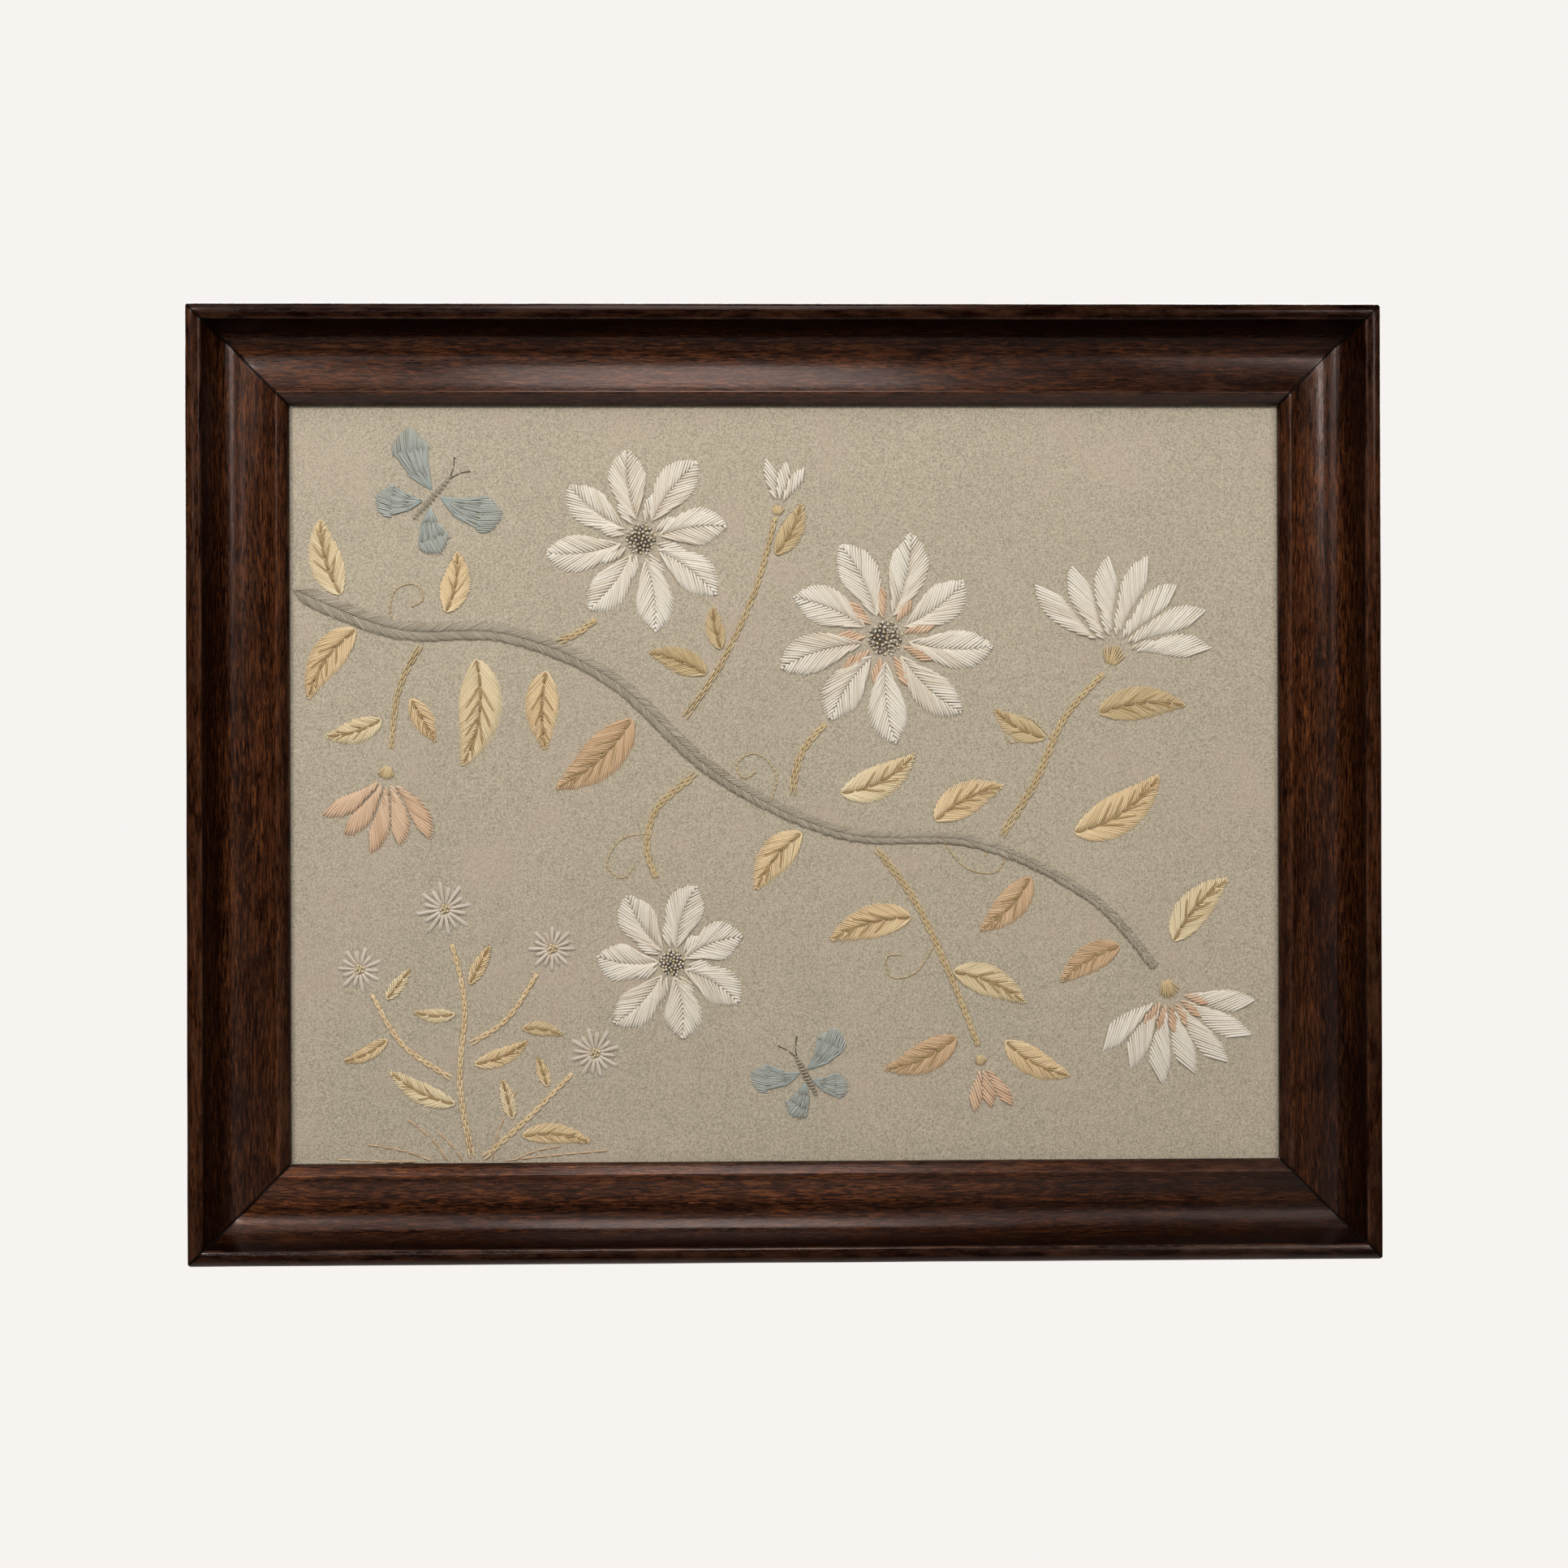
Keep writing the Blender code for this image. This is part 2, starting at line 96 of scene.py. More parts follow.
class Thread(Enum):
    """The silk threads of the work box."""

    IVORY = "ivory"
    PEACH = "peach"
    BLUSH = "blush"
    STRAW = "straw"
    PALE_GOLD = "pale_gold"
    TAN = "tan"
    OLD_GOLD = "old_gold"
    BARK = "bark"
    BLUE = "blue"
    VEIN = "vein"
    SEED = "seed"


class Fill(Enum):
    """How a shape is filled with stitches."""

    SLANTED = "slanted satin from edge to edge"
    FISHBONE = "slanted satin from the middle line to each edge"
    LENGTHWISE = "long and short stitches from root to rim"


def heading(angle: float) -> Vector:
    """Give the direction at an angle from +X on the cloth."""
    return Vector((math.cos(angle), math.sin(angle)))


def left_of(way: Vector) -> Vector:
    """Give the direction to the left of another one."""
    return Vector((-way.y, way.x))


class ShaderBench:
    """A material's node tree, with short ways to add and join nodes."""

    def __init__(self, name: str) -> None:
        """Start an empty material.

        Args:
            name: The material's name.
        """
        self.material = bpy.data.materials.new(name)
        self.material.use_nodes = True
        self.tree = self.material.node_tree
        self.shader = self.tree.nodes["Principled BSDF"]

    def add(self, kind: str, **settings: object) -> bpy.types.Node:
        """Add a node.

        Args:
            kind: Blender's name of the node type.
            settings: Values of the node's own properties.

        Returns:
            The new node.
        """
        node = self.tree.nodes.new(kind)
        for key, value in settings.items():
            setattr(node, key, value)
        return node

    def join(self, source: object, target: bpy.types.NodeSocket) -> None:
        """Join a socket, or set a plain value.

        Args:
            source: An output socket, a number or a tuple.
            target: The input socket that takes it.
        """
        if isinstance(source, bpy.types.NodeSocket):
            self.tree.links.new(source, target)
        else:
            target.default_value = source

    def place(self) -> bpy.types.NodeSocket:
        """Give the object coordinates."""
        return self.add("ShaderNodeTexCoord").outputs["Object"]

    def mapped(self, vector: object, scale: tuple, shift: tuple = (0, 0, 0)) -> bpy.types.NodeSocket:
        """Scale and shift coordinates.

        Args:
            vector: The coordinates.
            scale: Scale for each axis.
            shift: Shift for each axis.

        Returns:
            The mapped coordinates.
        """
        node = self.add("ShaderNodeMapping")
        self.join(vector, node.inputs["Vector"])
        node.inputs["Scale"].default_value = scale
        node.inputs["Location"].default_value = shift
        return node.outputs["Vector"]

    def cloud(self, vector: object, scale: float = 1.0, detail: float = 4.0, rough: float = 0.55,
              twist: float = 0.0) -> bpy.types.NodeSocket:
        """Add fractal noise.

        Args:
            vector: The coordinates.
            scale: Features in a unit.
            detail: Octaves.
            rough: Weight of the fine octaves.
            twist: Distortion.

        Returns:
            The noise from 0 to 1.
        """
        node = self.add("ShaderNodeTexNoise")
        self.join(vector, node.inputs["Vector"])
        node.inputs["Scale"].default_value = scale
        node.inputs["Detail"].default_value = detail
        node.inputs["Roughness"].default_value = rough
        node.inputs["Distortion"].default_value = twist
        return node.outputs["Fac"]

    def ramp(self, value: object, stops: tuple) -> bpy.types.NodeSocket:
        """Turn a value into a colour.

        Args:
            value: The value from 0 to 1.
            stops: Pairs of place and colour.

        Returns:
            The colour.
        """
        node = self.add("ShaderNodeValToRGB")
        self.join(value, node.inputs["Fac"])
        bar = node.color_ramp.elements
        while len(bar) < len(stops):
            bar.new(1.0)
        for element, (place, colour) in zip(bar, stops):
            element.position = place
            element.color = (*colour, 1.0)
        return node.outputs["Color"]

    def span(self, value: object, low: float, high: float, new_low: float,
             new_high: float) -> bpy.types.NodeSocket:
        """Map one range on another, held at its ends.

        Args:
            value: The value.
            low: Start of the range.
            high: End of the range.
            new_low: Result at the start.
            new_high: Result at the end.

        Returns:
            The mapped value.
        """
        node = self.add("ShaderNodeMapRange")
        self.join(value, node.inputs["Value"])
        ends = {"From Min": low, "From Max": high, "To Min": new_low, "To Max": new_high}
        for key, number in ends.items():
            node.inputs[key].default_value = number
        return node.outputs["Result"]

    def sum(self, kind: str, first: object, second: object) -> bpy.types.NodeSocket:
        """Do arithmetic on two values.

        Args:
            kind: Name of the operation.
            first: The first value.
            second: The second value.

        Returns:
            The result.
        """
        node = self.add("ShaderNodeMath", operation=kind)
        self.join(first, node.inputs[0])
        self.join(second, node.inputs[1])
        return node.outputs["Value"]

    def blend(self, share: object, first: object, second: object, kind: str = "MIX") -> bpy.types.NodeSocket:
        """Mix two colours.

        Args:
            share: Share of the second colour.
            first: The first colour.
            second: The second colour.
            kind: The blend type.

        Returns:
            The mixed colour.
        """
        node = self.add("ShaderNodeMix", data_type="RGBA", blend_type=kind)
        self.join(share, node.inputs[0])
        colours = [socket for socket in node.inputs if socket.type == "RGBA"]
        for source, target in zip((first, second), colours):
            self.join((*source, 1.0) if isinstance(source, tuple) else source, target)
        return next(socket for socket in node.outputs if socket.type == "RGBA")

    def bump(self, height: object, strength: float, depth: float) -> None:
        """Raise the surface by a height, after any bump that is there.

        Args:
            height: The height from 0 to 1.
            strength: How strong it shows.
            depth: Real depth in metres.
        """
        node = self.add("ShaderNodeBump")
        node.inputs["Strength"].default_value = strength
        node.inputs["Distance"].default_value = depth
        self.join(height, node.inputs["Height"])
        before = self.shader.inputs["Normal"].links
        if before:
            self.join(before[0].from_socket, node.inputs["Normal"])
        self.join(node.outputs["Normal"], self.shader.inputs["Normal"])

    def dress(self, **looks: object) -> None:
        """Set the shader's own sockets.

        Args:
            looks: Values or output sockets, by the sockets' names with a low line for each space.
        """
        for name, look in looks.items():
            self.join(look, self.shader.inputs[name.replace("_", " ")])

    def weighted(self, *parts: tuple) -> bpy.types.NodeSocket:
        """Add up values, each times its weight.

        Args:
            parts: Pairs of value and weight.

        Returns:
            The total.
        """
        total, *others = (self.sum("MULTIPLY", value, weight) for value, weight in parts)
        for other in others:
            total = self.sum("ADD", total, other)
        return total

    def spots(self, scale: float, fade: tuple, channel: str, rare: tuple,
              strength: float) -> bpy.types.NodeSocket:
        """Scatter small round spots.

        Args:
            scale: Cells in a metre.
            fade: Distances from the spot's middle between which it fades.
            channel: Colour channel of the cells that chooses them.
            rare: Values of that channel between which a cell gets its spot.
            strength: How strong a spot is.

        Returns:
            The spots, from 0 to their strength.
        """
        cells = self.add("ShaderNodeTexVoronoi")
        self.join(self.mapped(self.place(), (scale, scale, scale)), cells.inputs["Vector"])
        chosen = self.add("ShaderNodeSeparateColor")
        self.join(cells.outputs["Color"], chosen.inputs["Color"])
        near = self.span(cells.outputs["Distance"], *fade, 1.0, 0.0)
        return self.sum("MULTIPLY", near, self.span(chosen.outputs[channel], *rare, 0.0, strength))

    def named(self, name: str) -> bpy.types.NodeSocket:
        """Read a number painted on the mesh.

        Args:
            name: The attribute's name.

        Returns:
            Its value.
        """
        return self.add("ShaderNodeAttribute", attribute_name=name).outputs["Fac"]


@dataclass(frozen=True)
class VarnishedWood:
    """Dark mahogany under an old satin varnish."""

    grain: Grain
    part: str = "face"
    gloss: float = 0.42
    dark: tuple = (0.0040, 0.0009, 0.0004)
    middle: tuple = (0.026, 0.0075, 0.0028)
    red: tuple = (0.076, 0.0235, 0.0080)
    light: tuple = (0.190, 0.060, 0.0165)
    worn: tuple = (0.150, 0.062, 0.032)
    dust: tuple = (0.32, 0.27, 0.22)

    def stretched(self, bench: ShaderBench, along: float, across: float,
                  shift: float = 0.0) -> bpy.types.NodeSocket:
        """Coordinates drawn out along the grain.

        Args:
            bench: The node tree.
            along: Features in a metre along the grain.
            across: Features in a metre across it.
            shift: Shift that makes one use differ from another.

        Returns:
            The coordinates.
        """
        scale = (along, across, across) if self.grain is Grain.ACROSS else (across, across, along)
        return bench.mapped(bench.place(), scale, (shift, shift * 1.7, shift * 0.6))

    def build(self) -> bpy.types.Material:
        """Make the material.

        Returns:
            The material.
        """
        bench = ShaderBench(f"varnished_wood_{self.part}_{self.grain.name.lower()}")
        bands = bench.cloud(self.stretched(bench, 7, 85, 3.1), detail=3, twist=0.6)
        streaks = bench.cloud(self.stretched(bench, 75, 900, 7.7), detail=4, rough=0.60, twist=1.5)
        figure = bench.cloud(self.stretched(bench, 120, 500, 1.3), detail=3, rough=0.5, twist=1.8)
        pores = bench.cloud(self.stretched(bench, 150, 1500, 5.0), detail=2, rough=0.6, twist=0.8)

        tone = bench.weighted((streaks, 0.50), (bands, 0.28), (figure, 0.22))
        shades = ((0.36, self.dark), (0.45, self.middle), (0.53, self.red), (0.66, self.light))
        colour = bench.ramp(tone, shades)
        pits = bench.span(pores, 0.48, 0.60, 0.0, 0.90)
        colour = bench.blend(pits, colour, self.dark)
        patches = bench.span(bench.cloud(bench.place(), 26, 4, 0.6, 0.5), 0.50, 0.68, 0.0, 0.50)
        colour = bench.blend(patches, colour, self.dark)
        # painted light and shade: the faded attribute paints a rise lighter, the stain attribute is staining
        # and painted shade, and the darkened attribute is painted shade towards one end
        colour = bench.blend(bench.named("painted_light"), colour, colour, "ADD")
        colour = bench.blend(bench.named("darkening"), colour, self.dark)
        colour = bench.blend(bench.named("end_shade"), colour, self.dark)

        scuff = bench.cloud(self.stretched(bench, 60, 260, 9.0), detail=4, rough=0.7)
        rubbed = bench.sum("MULTIPLY", bench.named("wear"), bench.span(scuff, 0.42, 0.66, 0.0, 0.55))
        colour = bench.blend(rubbed, colour, self.worn)

        dusty = bench.spots(150, (0.020, 0.045), "Red", (0.930, 0.935), 0.8)
        colour = bench.blend(dusty, colour, self.dust)

        haze = bench.span(bench.cloud(bench.place(), 38, 4, 0.6), 0.3, 0.7, 0.135, 0.225)
        haze = bench.sum("SUBTRACT", haze, bench.sum("MULTIPLY", bench.named("darkening"), 0.09))
        for roughener, amount in ((rubbed, 0.22), (bench.named("matt"), 0.22), (dusty, 0.5)):
            haze = bench.sum("ADD", haze, bench.sum("MULTIPLY", roughener, amount))
        bench.dress(Base_Color=colour, Roughness=haze, Specular_IOR_Level=self.gloss,
                    Specular_Tint=(1.0, 0.76, 0.70, 1.0), Coat_Weight=0.12 * self.gloss,
                    Coat_Roughness=0.16, Coat_IOR=1.5)
        bench.bump(streaks, 0.16, 0.10 * MM)
        bench.bump(bench.sum("SUBTRACT", 1.0, pits), 0.30, 0.05 * MM)
        return bench.material


@dataclass(frozen=True)
class BareBoard:
    """Thin unvarnished board, darkened with age."""

    pale: tuple = (0.34, 0.235, 0.135)
    deep: tuple = (0.20, 0.125, 0.066)
    darkening: tuple = (0.115, 0.072, 0.040)

    def build(self) -> bpy.types.Material:
        """Make the material.

        Returns:
            The material.
        """
        bench = ShaderBench("bare_board")
        long_grain = bench.cloud(bench.mapped(bench.place(), (5, 60, 110)), detail=4, rough=0.6, twist=0.8)
        fine = bench.cloud(bench.mapped(bench.place(), (40, 900, 1300)), detail=3, rough=0.6)
        tone = bench.weighted((long_grain, 0.7), (fine, 0.3))
        colour = bench.ramp(tone, ((0.35, self.deep), (0.65, self.pale)))
        blotch = bench.span(bench.cloud(bench.place(), 11, 5, 0.6), 0.52, 0.75, 0.0, 0.5)
        colour = bench.blend(blotch, colour, self.darkening)
        bench.dress(Base_Color=colour, Roughness=0.85, Specular_IOR_Level=0.25)
        bench.bump(fine, 0.3, 0.12 * MM)
        return bench.material


@dataclass(frozen=True)
class SilkGround:
    """Fine plain-weave silk, taupe, mottled with age."""

    warm: tuple = (0.498, 0.424, 0.314)
    cool: tuple = (0.462, 0.400, 0.297)
    dark: tuple = (0.300, 0.252, 0.182)
    light: tuple = (0.640, 0.560, 0.435)
    pink: tuple = (0.535, 0.420, 0.332)
    fleck: tuple = (0.10, 0.075, 0.05)
    yarns: float = 1900.0

    def build(self) -> bpy.types.Material:
        """Make the material.

        Returns:
            The material.
        """
        bench = ShaderBench("silk_ground")
        mottle = bench.cloud(bench.place(), 16, 5, 0.62, 0.4)
        colour = bench.ramp(mottle, ((0.35, self.cool), (0.65, self.warm)))

        weft = bench.cloud(bench.mapped(bench.place(), (900, 700, 2100)), detail=1, rough=0.5)
        warp = bench.cloud(bench.mapped(bench.place(), (2100, 700, 900), (3, 1, 7)), detail=1, rough=0.5)
        grain = bench.cloud(bench.place(), 1750, 1, 0.5, 0.5)
        yarn = bench.weighted((weft, 0.8), (warp, 0.8), (grain, 1.2))
        shade = bench.span(yarn, 1.40, 1.72, 0.0, 0.82)
        colour = bench.blend(shade, colour, self.dark)
        shine = bench.span(yarn, 1.40, 1.10, 0.0, 0.68)
        colour = bench.blend(shine, colour, self.light)

        slubs = bench.cloud(bench.mapped(bench.place(), (30, 100, 700), (5, 2, 0)), detail=2)
        colour = bench.blend(bench.span(slubs, 0.58, 0.74, 0.0, 0.14), colour, self.light)
        streaks = bench.cloud(bench.mapped(bench.place(), (700, 100, 30), (0, 2, 9)), detail=2)
        colour = bench.blend(bench.span(streaks, 0.58, 0.74, 0.0, 0.14), colour, self.dark)
        blush = bench.cloud(bench.mapped(bench.place(), (1, 1, 1), (4, 4, 4)), 42, 3)
        colour = bench.blend(bench.span(blush, 0.54, 0.70, 0.0, 0.40), colour, self.pink)

        flecks = bench.spots(260, (0.06, 0.12), "Green", (0.975, 0.980), 0.5)
        colour = bench.blend(flecks, colour, self.fleck)
        bench.dress(Base_Color=colour, Roughness=0.62, Specular_IOR_Level=0.28, Sheen_Weight=0.18,
                    Sheen_Roughness=0.45)
        weave_x = bench.add("ShaderNodeTexWave", wave_type="BANDS", bands_direction="X")
        weave_z = bench.add("ShaderNodeTexWave", wave_type="BANDS", bands_direction="Z")
        for wave in (weave_x, weave_z):
            bench.join(bench.place(), wave.inputs["Vector"])
            wave.inputs["Scale"].default_value = self.yarns * math.pi / 10
            wave.inputs["Distortion"].default_value = 0.4
        cloth = bench.sum("MULTIPLY", weave_x.outputs["Fac"], weave_z.outputs["Fac"])
        bench.bump(cloth, 0.35, 0.10 * MM)
        bench.bump(yarn, 0.40, 0.12 * MM)
        return bench.material


@dataclass(frozen=True)
class SilkThread:
    """Floss silk of one colour, shaded from stitch to stitch."""

    thread: Thread
    main: tuple
    second: tuple
    shine: float = 0.35

    def build(self) -> bpy.types.Material:
        """Make the material.

        Returns:
            The material.
        """
        bench = ShaderBench(f"silk_{self.thread.value}")
        colour = bench.blend(bench.named("blend"), self.main, self.second)
        # the tone attribute holds each stitch's own shade plus painted shade on the thread's sides and a
        # painted highlight on its crown
        tone = bench.named("tone")
        lighter, darker = bench.span(tone, 0.0, 1.0, 0.0, 0.30), bench.span(tone, 0.0, -1.0, 0.0, 0.55)
        colour = bench.blend(lighter, colour, (1.0, 0.97, 0.90), "SOFT_LIGHT")
        colour = bench.blend(darker, colour, (0.70, 0.62, 0.50), "MULTIPLY")

        along = bench.add("ShaderNodeUVMap", uv_map="thread").outputs["UV"]
        strands = bench.cloud(bench.mapped(along, (0.35, 7.0, 1.0)), detail=3, rough=0.65)
        between = bench.span(strands, 0.40, 0.62, 0.30, 0.0)
        colour = bench.blend(between, colour, (0.62, 0.55, 0.45), "MULTIPLY")
        tangent = bench.add("ShaderNodeTangent", direction_type="UV_MAP", uv_map="thread")
        bench.dress(Base_Color=colour, Roughness=0.46, Specular_IOR_Level=0.42, Anisotropic=0.55,
                    Sheen_Weight=self.shine, Sheen_Roughness=0.35, Tangent=tangent.outputs["Tangent"])
        bench.bump(strands, 0.55, 0.08 * MM)
        return bench.material


@dataclass(frozen=True)
class Shadowy:
    """Dark matt filling: painted shade in the pricked holes of the silk, or old glue in a joint."""

    name: str
    colour: tuple

    def build(self) -> bpy.types.Material:
        """Make the material.

        Returns:
            The material.
        """
        bench = ShaderBench(self.name)
        speckle = bench.cloud(bench.place(), 900, 3, 0.6)
        darker = tuple(c * 0.55 for c in self.colour)
        colour = bench.blend(speckle, self.colour, darker)
        bench.dress(Base_Color=colour, Roughness=0.9, Specular_IOR_Level=0.2)
        return bench.material


@dataclass(frozen=True)
class PaleFloor:
    """Plain pale studio floor."""

    colour: tuple = (0.80, 0.79, 0.775)

    def build(self) -> bpy.types.Material:
        """Make the material.

        Returns:
            The material.
        """
        bench = ShaderBench("pale_floor")
        cloudy = bench.cloud(bench.place(), 3, 3, 0.5)
        soft = tuple(c * 0.985 for c in self.colour)
        bench.dress(Base_Color=bench.blend(cloudy, self.colour, soft), Roughness=0.8)
        return bench.material


SILKS = (
    SilkThread(Thread.IVORY, (0.875, 0.815, 0.712), (0.780, 0.650, 0.495)),
    SilkThread(Thread.PEACH, (0.740, 0.490, 0.320), (0.780, 0.590, 0.420)),
    SilkThread(Thread.BLUSH, (0.760, 0.685, 0.590), (0.680, 0.540, 0.430)),
    SilkThread(Thread.STRAW, (0.860, 0.660, 0.395), (0.790, 0.575, 0.320)),
    SilkThread(Thread.PALE_GOLD, (0.870, 0.725, 0.470), (0.820, 0.640, 0.385)),
    SilkThread(Thread.TAN, (0.680, 0.450, 0.265), (0.720, 0.520, 0.320)),
    SilkThread(Thread.OLD_GOLD, (0.640, 0.485, 0.265), (0.720, 0.560, 0.330)),
    SilkThread(Thread.BARK, (0.400, 0.350, 0.275), (0.480, 0.420, 0.325), 0.2),
    SilkThread(Thread.BLUE, (0.345, 0.405, 0.390), (0.455, 0.465, 0.420)),
    SilkThread(Thread.VEIN, (0.480, 0.325, 0.150), (0.540, 0.385, 0.195), 0.2),
    SilkThread(Thread.SEED, (0.090, 0.062, 0.040), (0.140, 0.098, 0.062), 0.1),
)


def deselect_all() -> None:
    """Leave edit mode and select nothing."""
    if bpy.context.object and bpy.context.object.mode != "OBJECT":
        bpy.ops.object.mode_set(mode="OBJECT")
    bpy.ops.object.select_all(action="DESELECT")


def add_object(name: str, points: np.ndarray, faces: list) -> bpy.types.Object:
    """Make a mesh object from points and faces.

    Args:
        name: Its name.
        points: Its points, in any shape that ends in three numbers.
        faces: Its faces, as lists of point numbers.

    Returns:
        The new object.
    """
    mesh = bpy.data.meshes.new(name)
    mesh.from_pydata(points.reshape(-1, 3).tolist(), [], faces)
    obj = bpy.data.objects.new(name, mesh)
    bpy.context.scene.collection.objects.link(obj)
    return obj


def finish_piece(obj: bpy.types.Object, material: bpy.types.Material) -> bpy.types.Object:
    """Bake a piece's place into its mesh, dress it and let it ride on the part.

    Args:
        obj: The piece.
        material: Its material.

    Returns:
        The piece.
    """
    deselect_all()
    bpy.context.view_layer.objects.active = obj
    obj.select_set(True)
    bpy.ops.object.transform_apply(location=True, rotation=True, scale=True)
    obj.data.materials.clear()
    obj.data.materials.append(material)
    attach(obj, BODY)
    return obj


@dataclass
class Rail:
    """One length of the moulding.

    Attributes:
        node: The CAD node that it replaces.
        half_run: Half of its length at the outer edge.
        half_across: Distance of its outer edge from the picture's middle.
        turn: Its turn round Y, nothing for the top rail.
        grain: Which way its grain runs.
        bead_stain_and_shade: How dark the staining and painted shade are on the bead.
        painted_light: How much lighter the wood is painted past the hollow's low line, painted light.
        deep: How dark the staining and painted shade are in the hollow.
        shaded_end: How dark the painted shade gets towards one end: above zero the end at +X before the turn,
            below zero the other.
        matt_end: How matt one end gets, in the same way.
    """

    node: str
    half_run: float
    half_across: float
    turn: float
    grain: Grain
    bead_stain_and_shade: float
    painted_light: float = 0.0
    deep: float = 1.0
    shaded_end: float = 0.0
    matt_end: float = 0.0


@dataclass
class Frame:
    """The mitred frame: four lengths of cove moulding and the glue in their joints.

    An inset is a distance in from the outer edge, and a depth a height above the back plane.
    """

    # the section
    mitre_gap: float = 0.42 * MM
    bead_w: float = 6.0 * MM
    bead_top_inset: float = 3.0 * MM
    bead_round: float = 2.4 * MM
    bead_crown: float = 0.6 * MM
    cove_low_inset: float = 19.0 * MM
    cove_low_depth: float = 12.8 * MM
    fall_angle: float = math.radians(65.0)
    fall_bend_r: float = 10.0 * MM
    rise_r: float = 26.0 * MM
    rise_angle: float = math.radians(32.0)
    ridge_r: float = 0.8 * MM
    lip_angle: float = math.radians(45.0)
    rebate_w: float = 6.0 * MM
    rebate_depth: float = 11.3 * MM
    corner_r: float = 1.3 * MM
    ease: float = 0.03 * MM
    side_heights: tuple = ((0.25 * MM, 0.3), (9.0 * MM, 0.1), (17.0 * MM, 0.1), (22.5 * MM, 0.3))
    back_chamfer: float = 0.25 * MM
    fall_shares: tuple = (0.12, 0.3, 0.5, 0.7, 0.9)
    core_share: float = 0.45
    core_depth: float = 8.0 * MM
    glue_sunk: float = 0.5 * MM
    glue_share: float = 0.4
    # the staining and painted shade
    hollow_fade: float = 7.0 * MM
    # painted shade: near black on the last strip of the lip at the sight edge, and darker on its bevel, part
    # staining and part painted shade
    lip_painted_shade_w: float = 0.9 * MM
    lip_painted_shade: float = 0.9
    lip_stain_and_shade_w: float = 3.4 * MM
    lip_stain_and_shade: float = 0.3
    painted_light_past: float = 1.5 * MM
    back_stain: float = 0.2
    joint_stain: float = 1.22
    near_joint_stain: float = 0.55
    near_joint: float = 0.992
    # the varnish
    dull_w: float = 14.0 * MM
    dull_side_w: float = 0.05 * MM
    dull_gloss: float = 0.17
    hazy_inset: float = 16.5 * MM
    hazy_w: float = 4.0 * MM
    hazy: float = 0.6
    side_matt: float = 1.6
    matt_side_w: float = 0.01 * MM
    # the mesh
    stations: int = 150
    gather: float = 1.35
    unevenness: float = 0.07 * MM
    true_back: float = 0.5 * MM
    true_lip: float = 0.1 * MM
    broad_wave: float = 26.0
    fine_wave: float = 140.0
    fine_share: float = 0.22
    wave_seed: int = 41
    smooth_angle: float = math.radians(24.0)
    section: list = field(default_factory=list)
    wear: list = field(default_factory=list)

    def stain_and_shade_at(self, inset: float, depth: float, bead_stain_and_shade: float, deep: float) -> float:
        """Tell how dark the staining and painted shade lie: deep in the hollow behind the bead, near black at
        the sight edge, thin on the rise and the back.

        Args:
            inset: Distance in from the outer edge.
            depth: Height above the back plane.
            bead_stain_and_shade: The staining and painted shade of the bead.
            deep: The staining and painted shade of the hollow.

        Returns:
            The staining and painted shade, from 0 to 1.
        """
        if inset < self.bead_w:
            return bead_stain_and_shade
        if depth <= self.rebate_depth - 0.1 * MM:
            return self.back_stain
        # the hollow behind the bead: staining and painted shade, fading out across the hollow
        hollow = deep - deep * min(max((inset - self.hollow_fade) / self.hollow_fade, 0.0), 1.0)
        from_opening = RAIL_W - inset
        # painted shade at the sight edge, where the lip turns away from the light; the bevel is part
        # staining, part painted shade
        if from_opening < self.lip_painted_shade_w:
            return max(hollow, self.lip_painted_shade)
        return max(hollow, self.lip_stain_and_shade if from_opening < self.lip_stain_and_shade_w else 0.0)

    def add_arc(self, centre: tuple, radius: tuple, start: float, end: float, steps: int,
                rubbed: float, joined: bool = False) -> None:
        """Add points of an elliptical arc to the section.

        Args:
            centre: Its centre, as inset and depth.
            radius: Its radii along inset and depth.
            start: First angle.
            end: Last angle.
            steps: Number of steps.
            rubbed: How rubbed the surface is there, from 0 to 1.
            joined: Whether its first point takes the place of the section's last one.
        """
        if joined:
            self.section.pop()
            self.wear.pop()
        for i in range(steps + 1):
            a = start + (end - start) * i / steps
            self.add_point(centre[0] + radius[0] * math.cos(a), centre[1] + radius[1] * math.sin(a), rubbed)

    def add_point(self, inset: float, depth: float, rubbed: float) -> None:
        """Add one point to the section.

        Args:
            inset: Distance in from the outer edge.
            depth: Height above the back plane.
            rubbed: How rubbed the surface is there, from 0 to 1.
        """
        self.section.append((inset, depth))
        self.wear.append(rubbed)

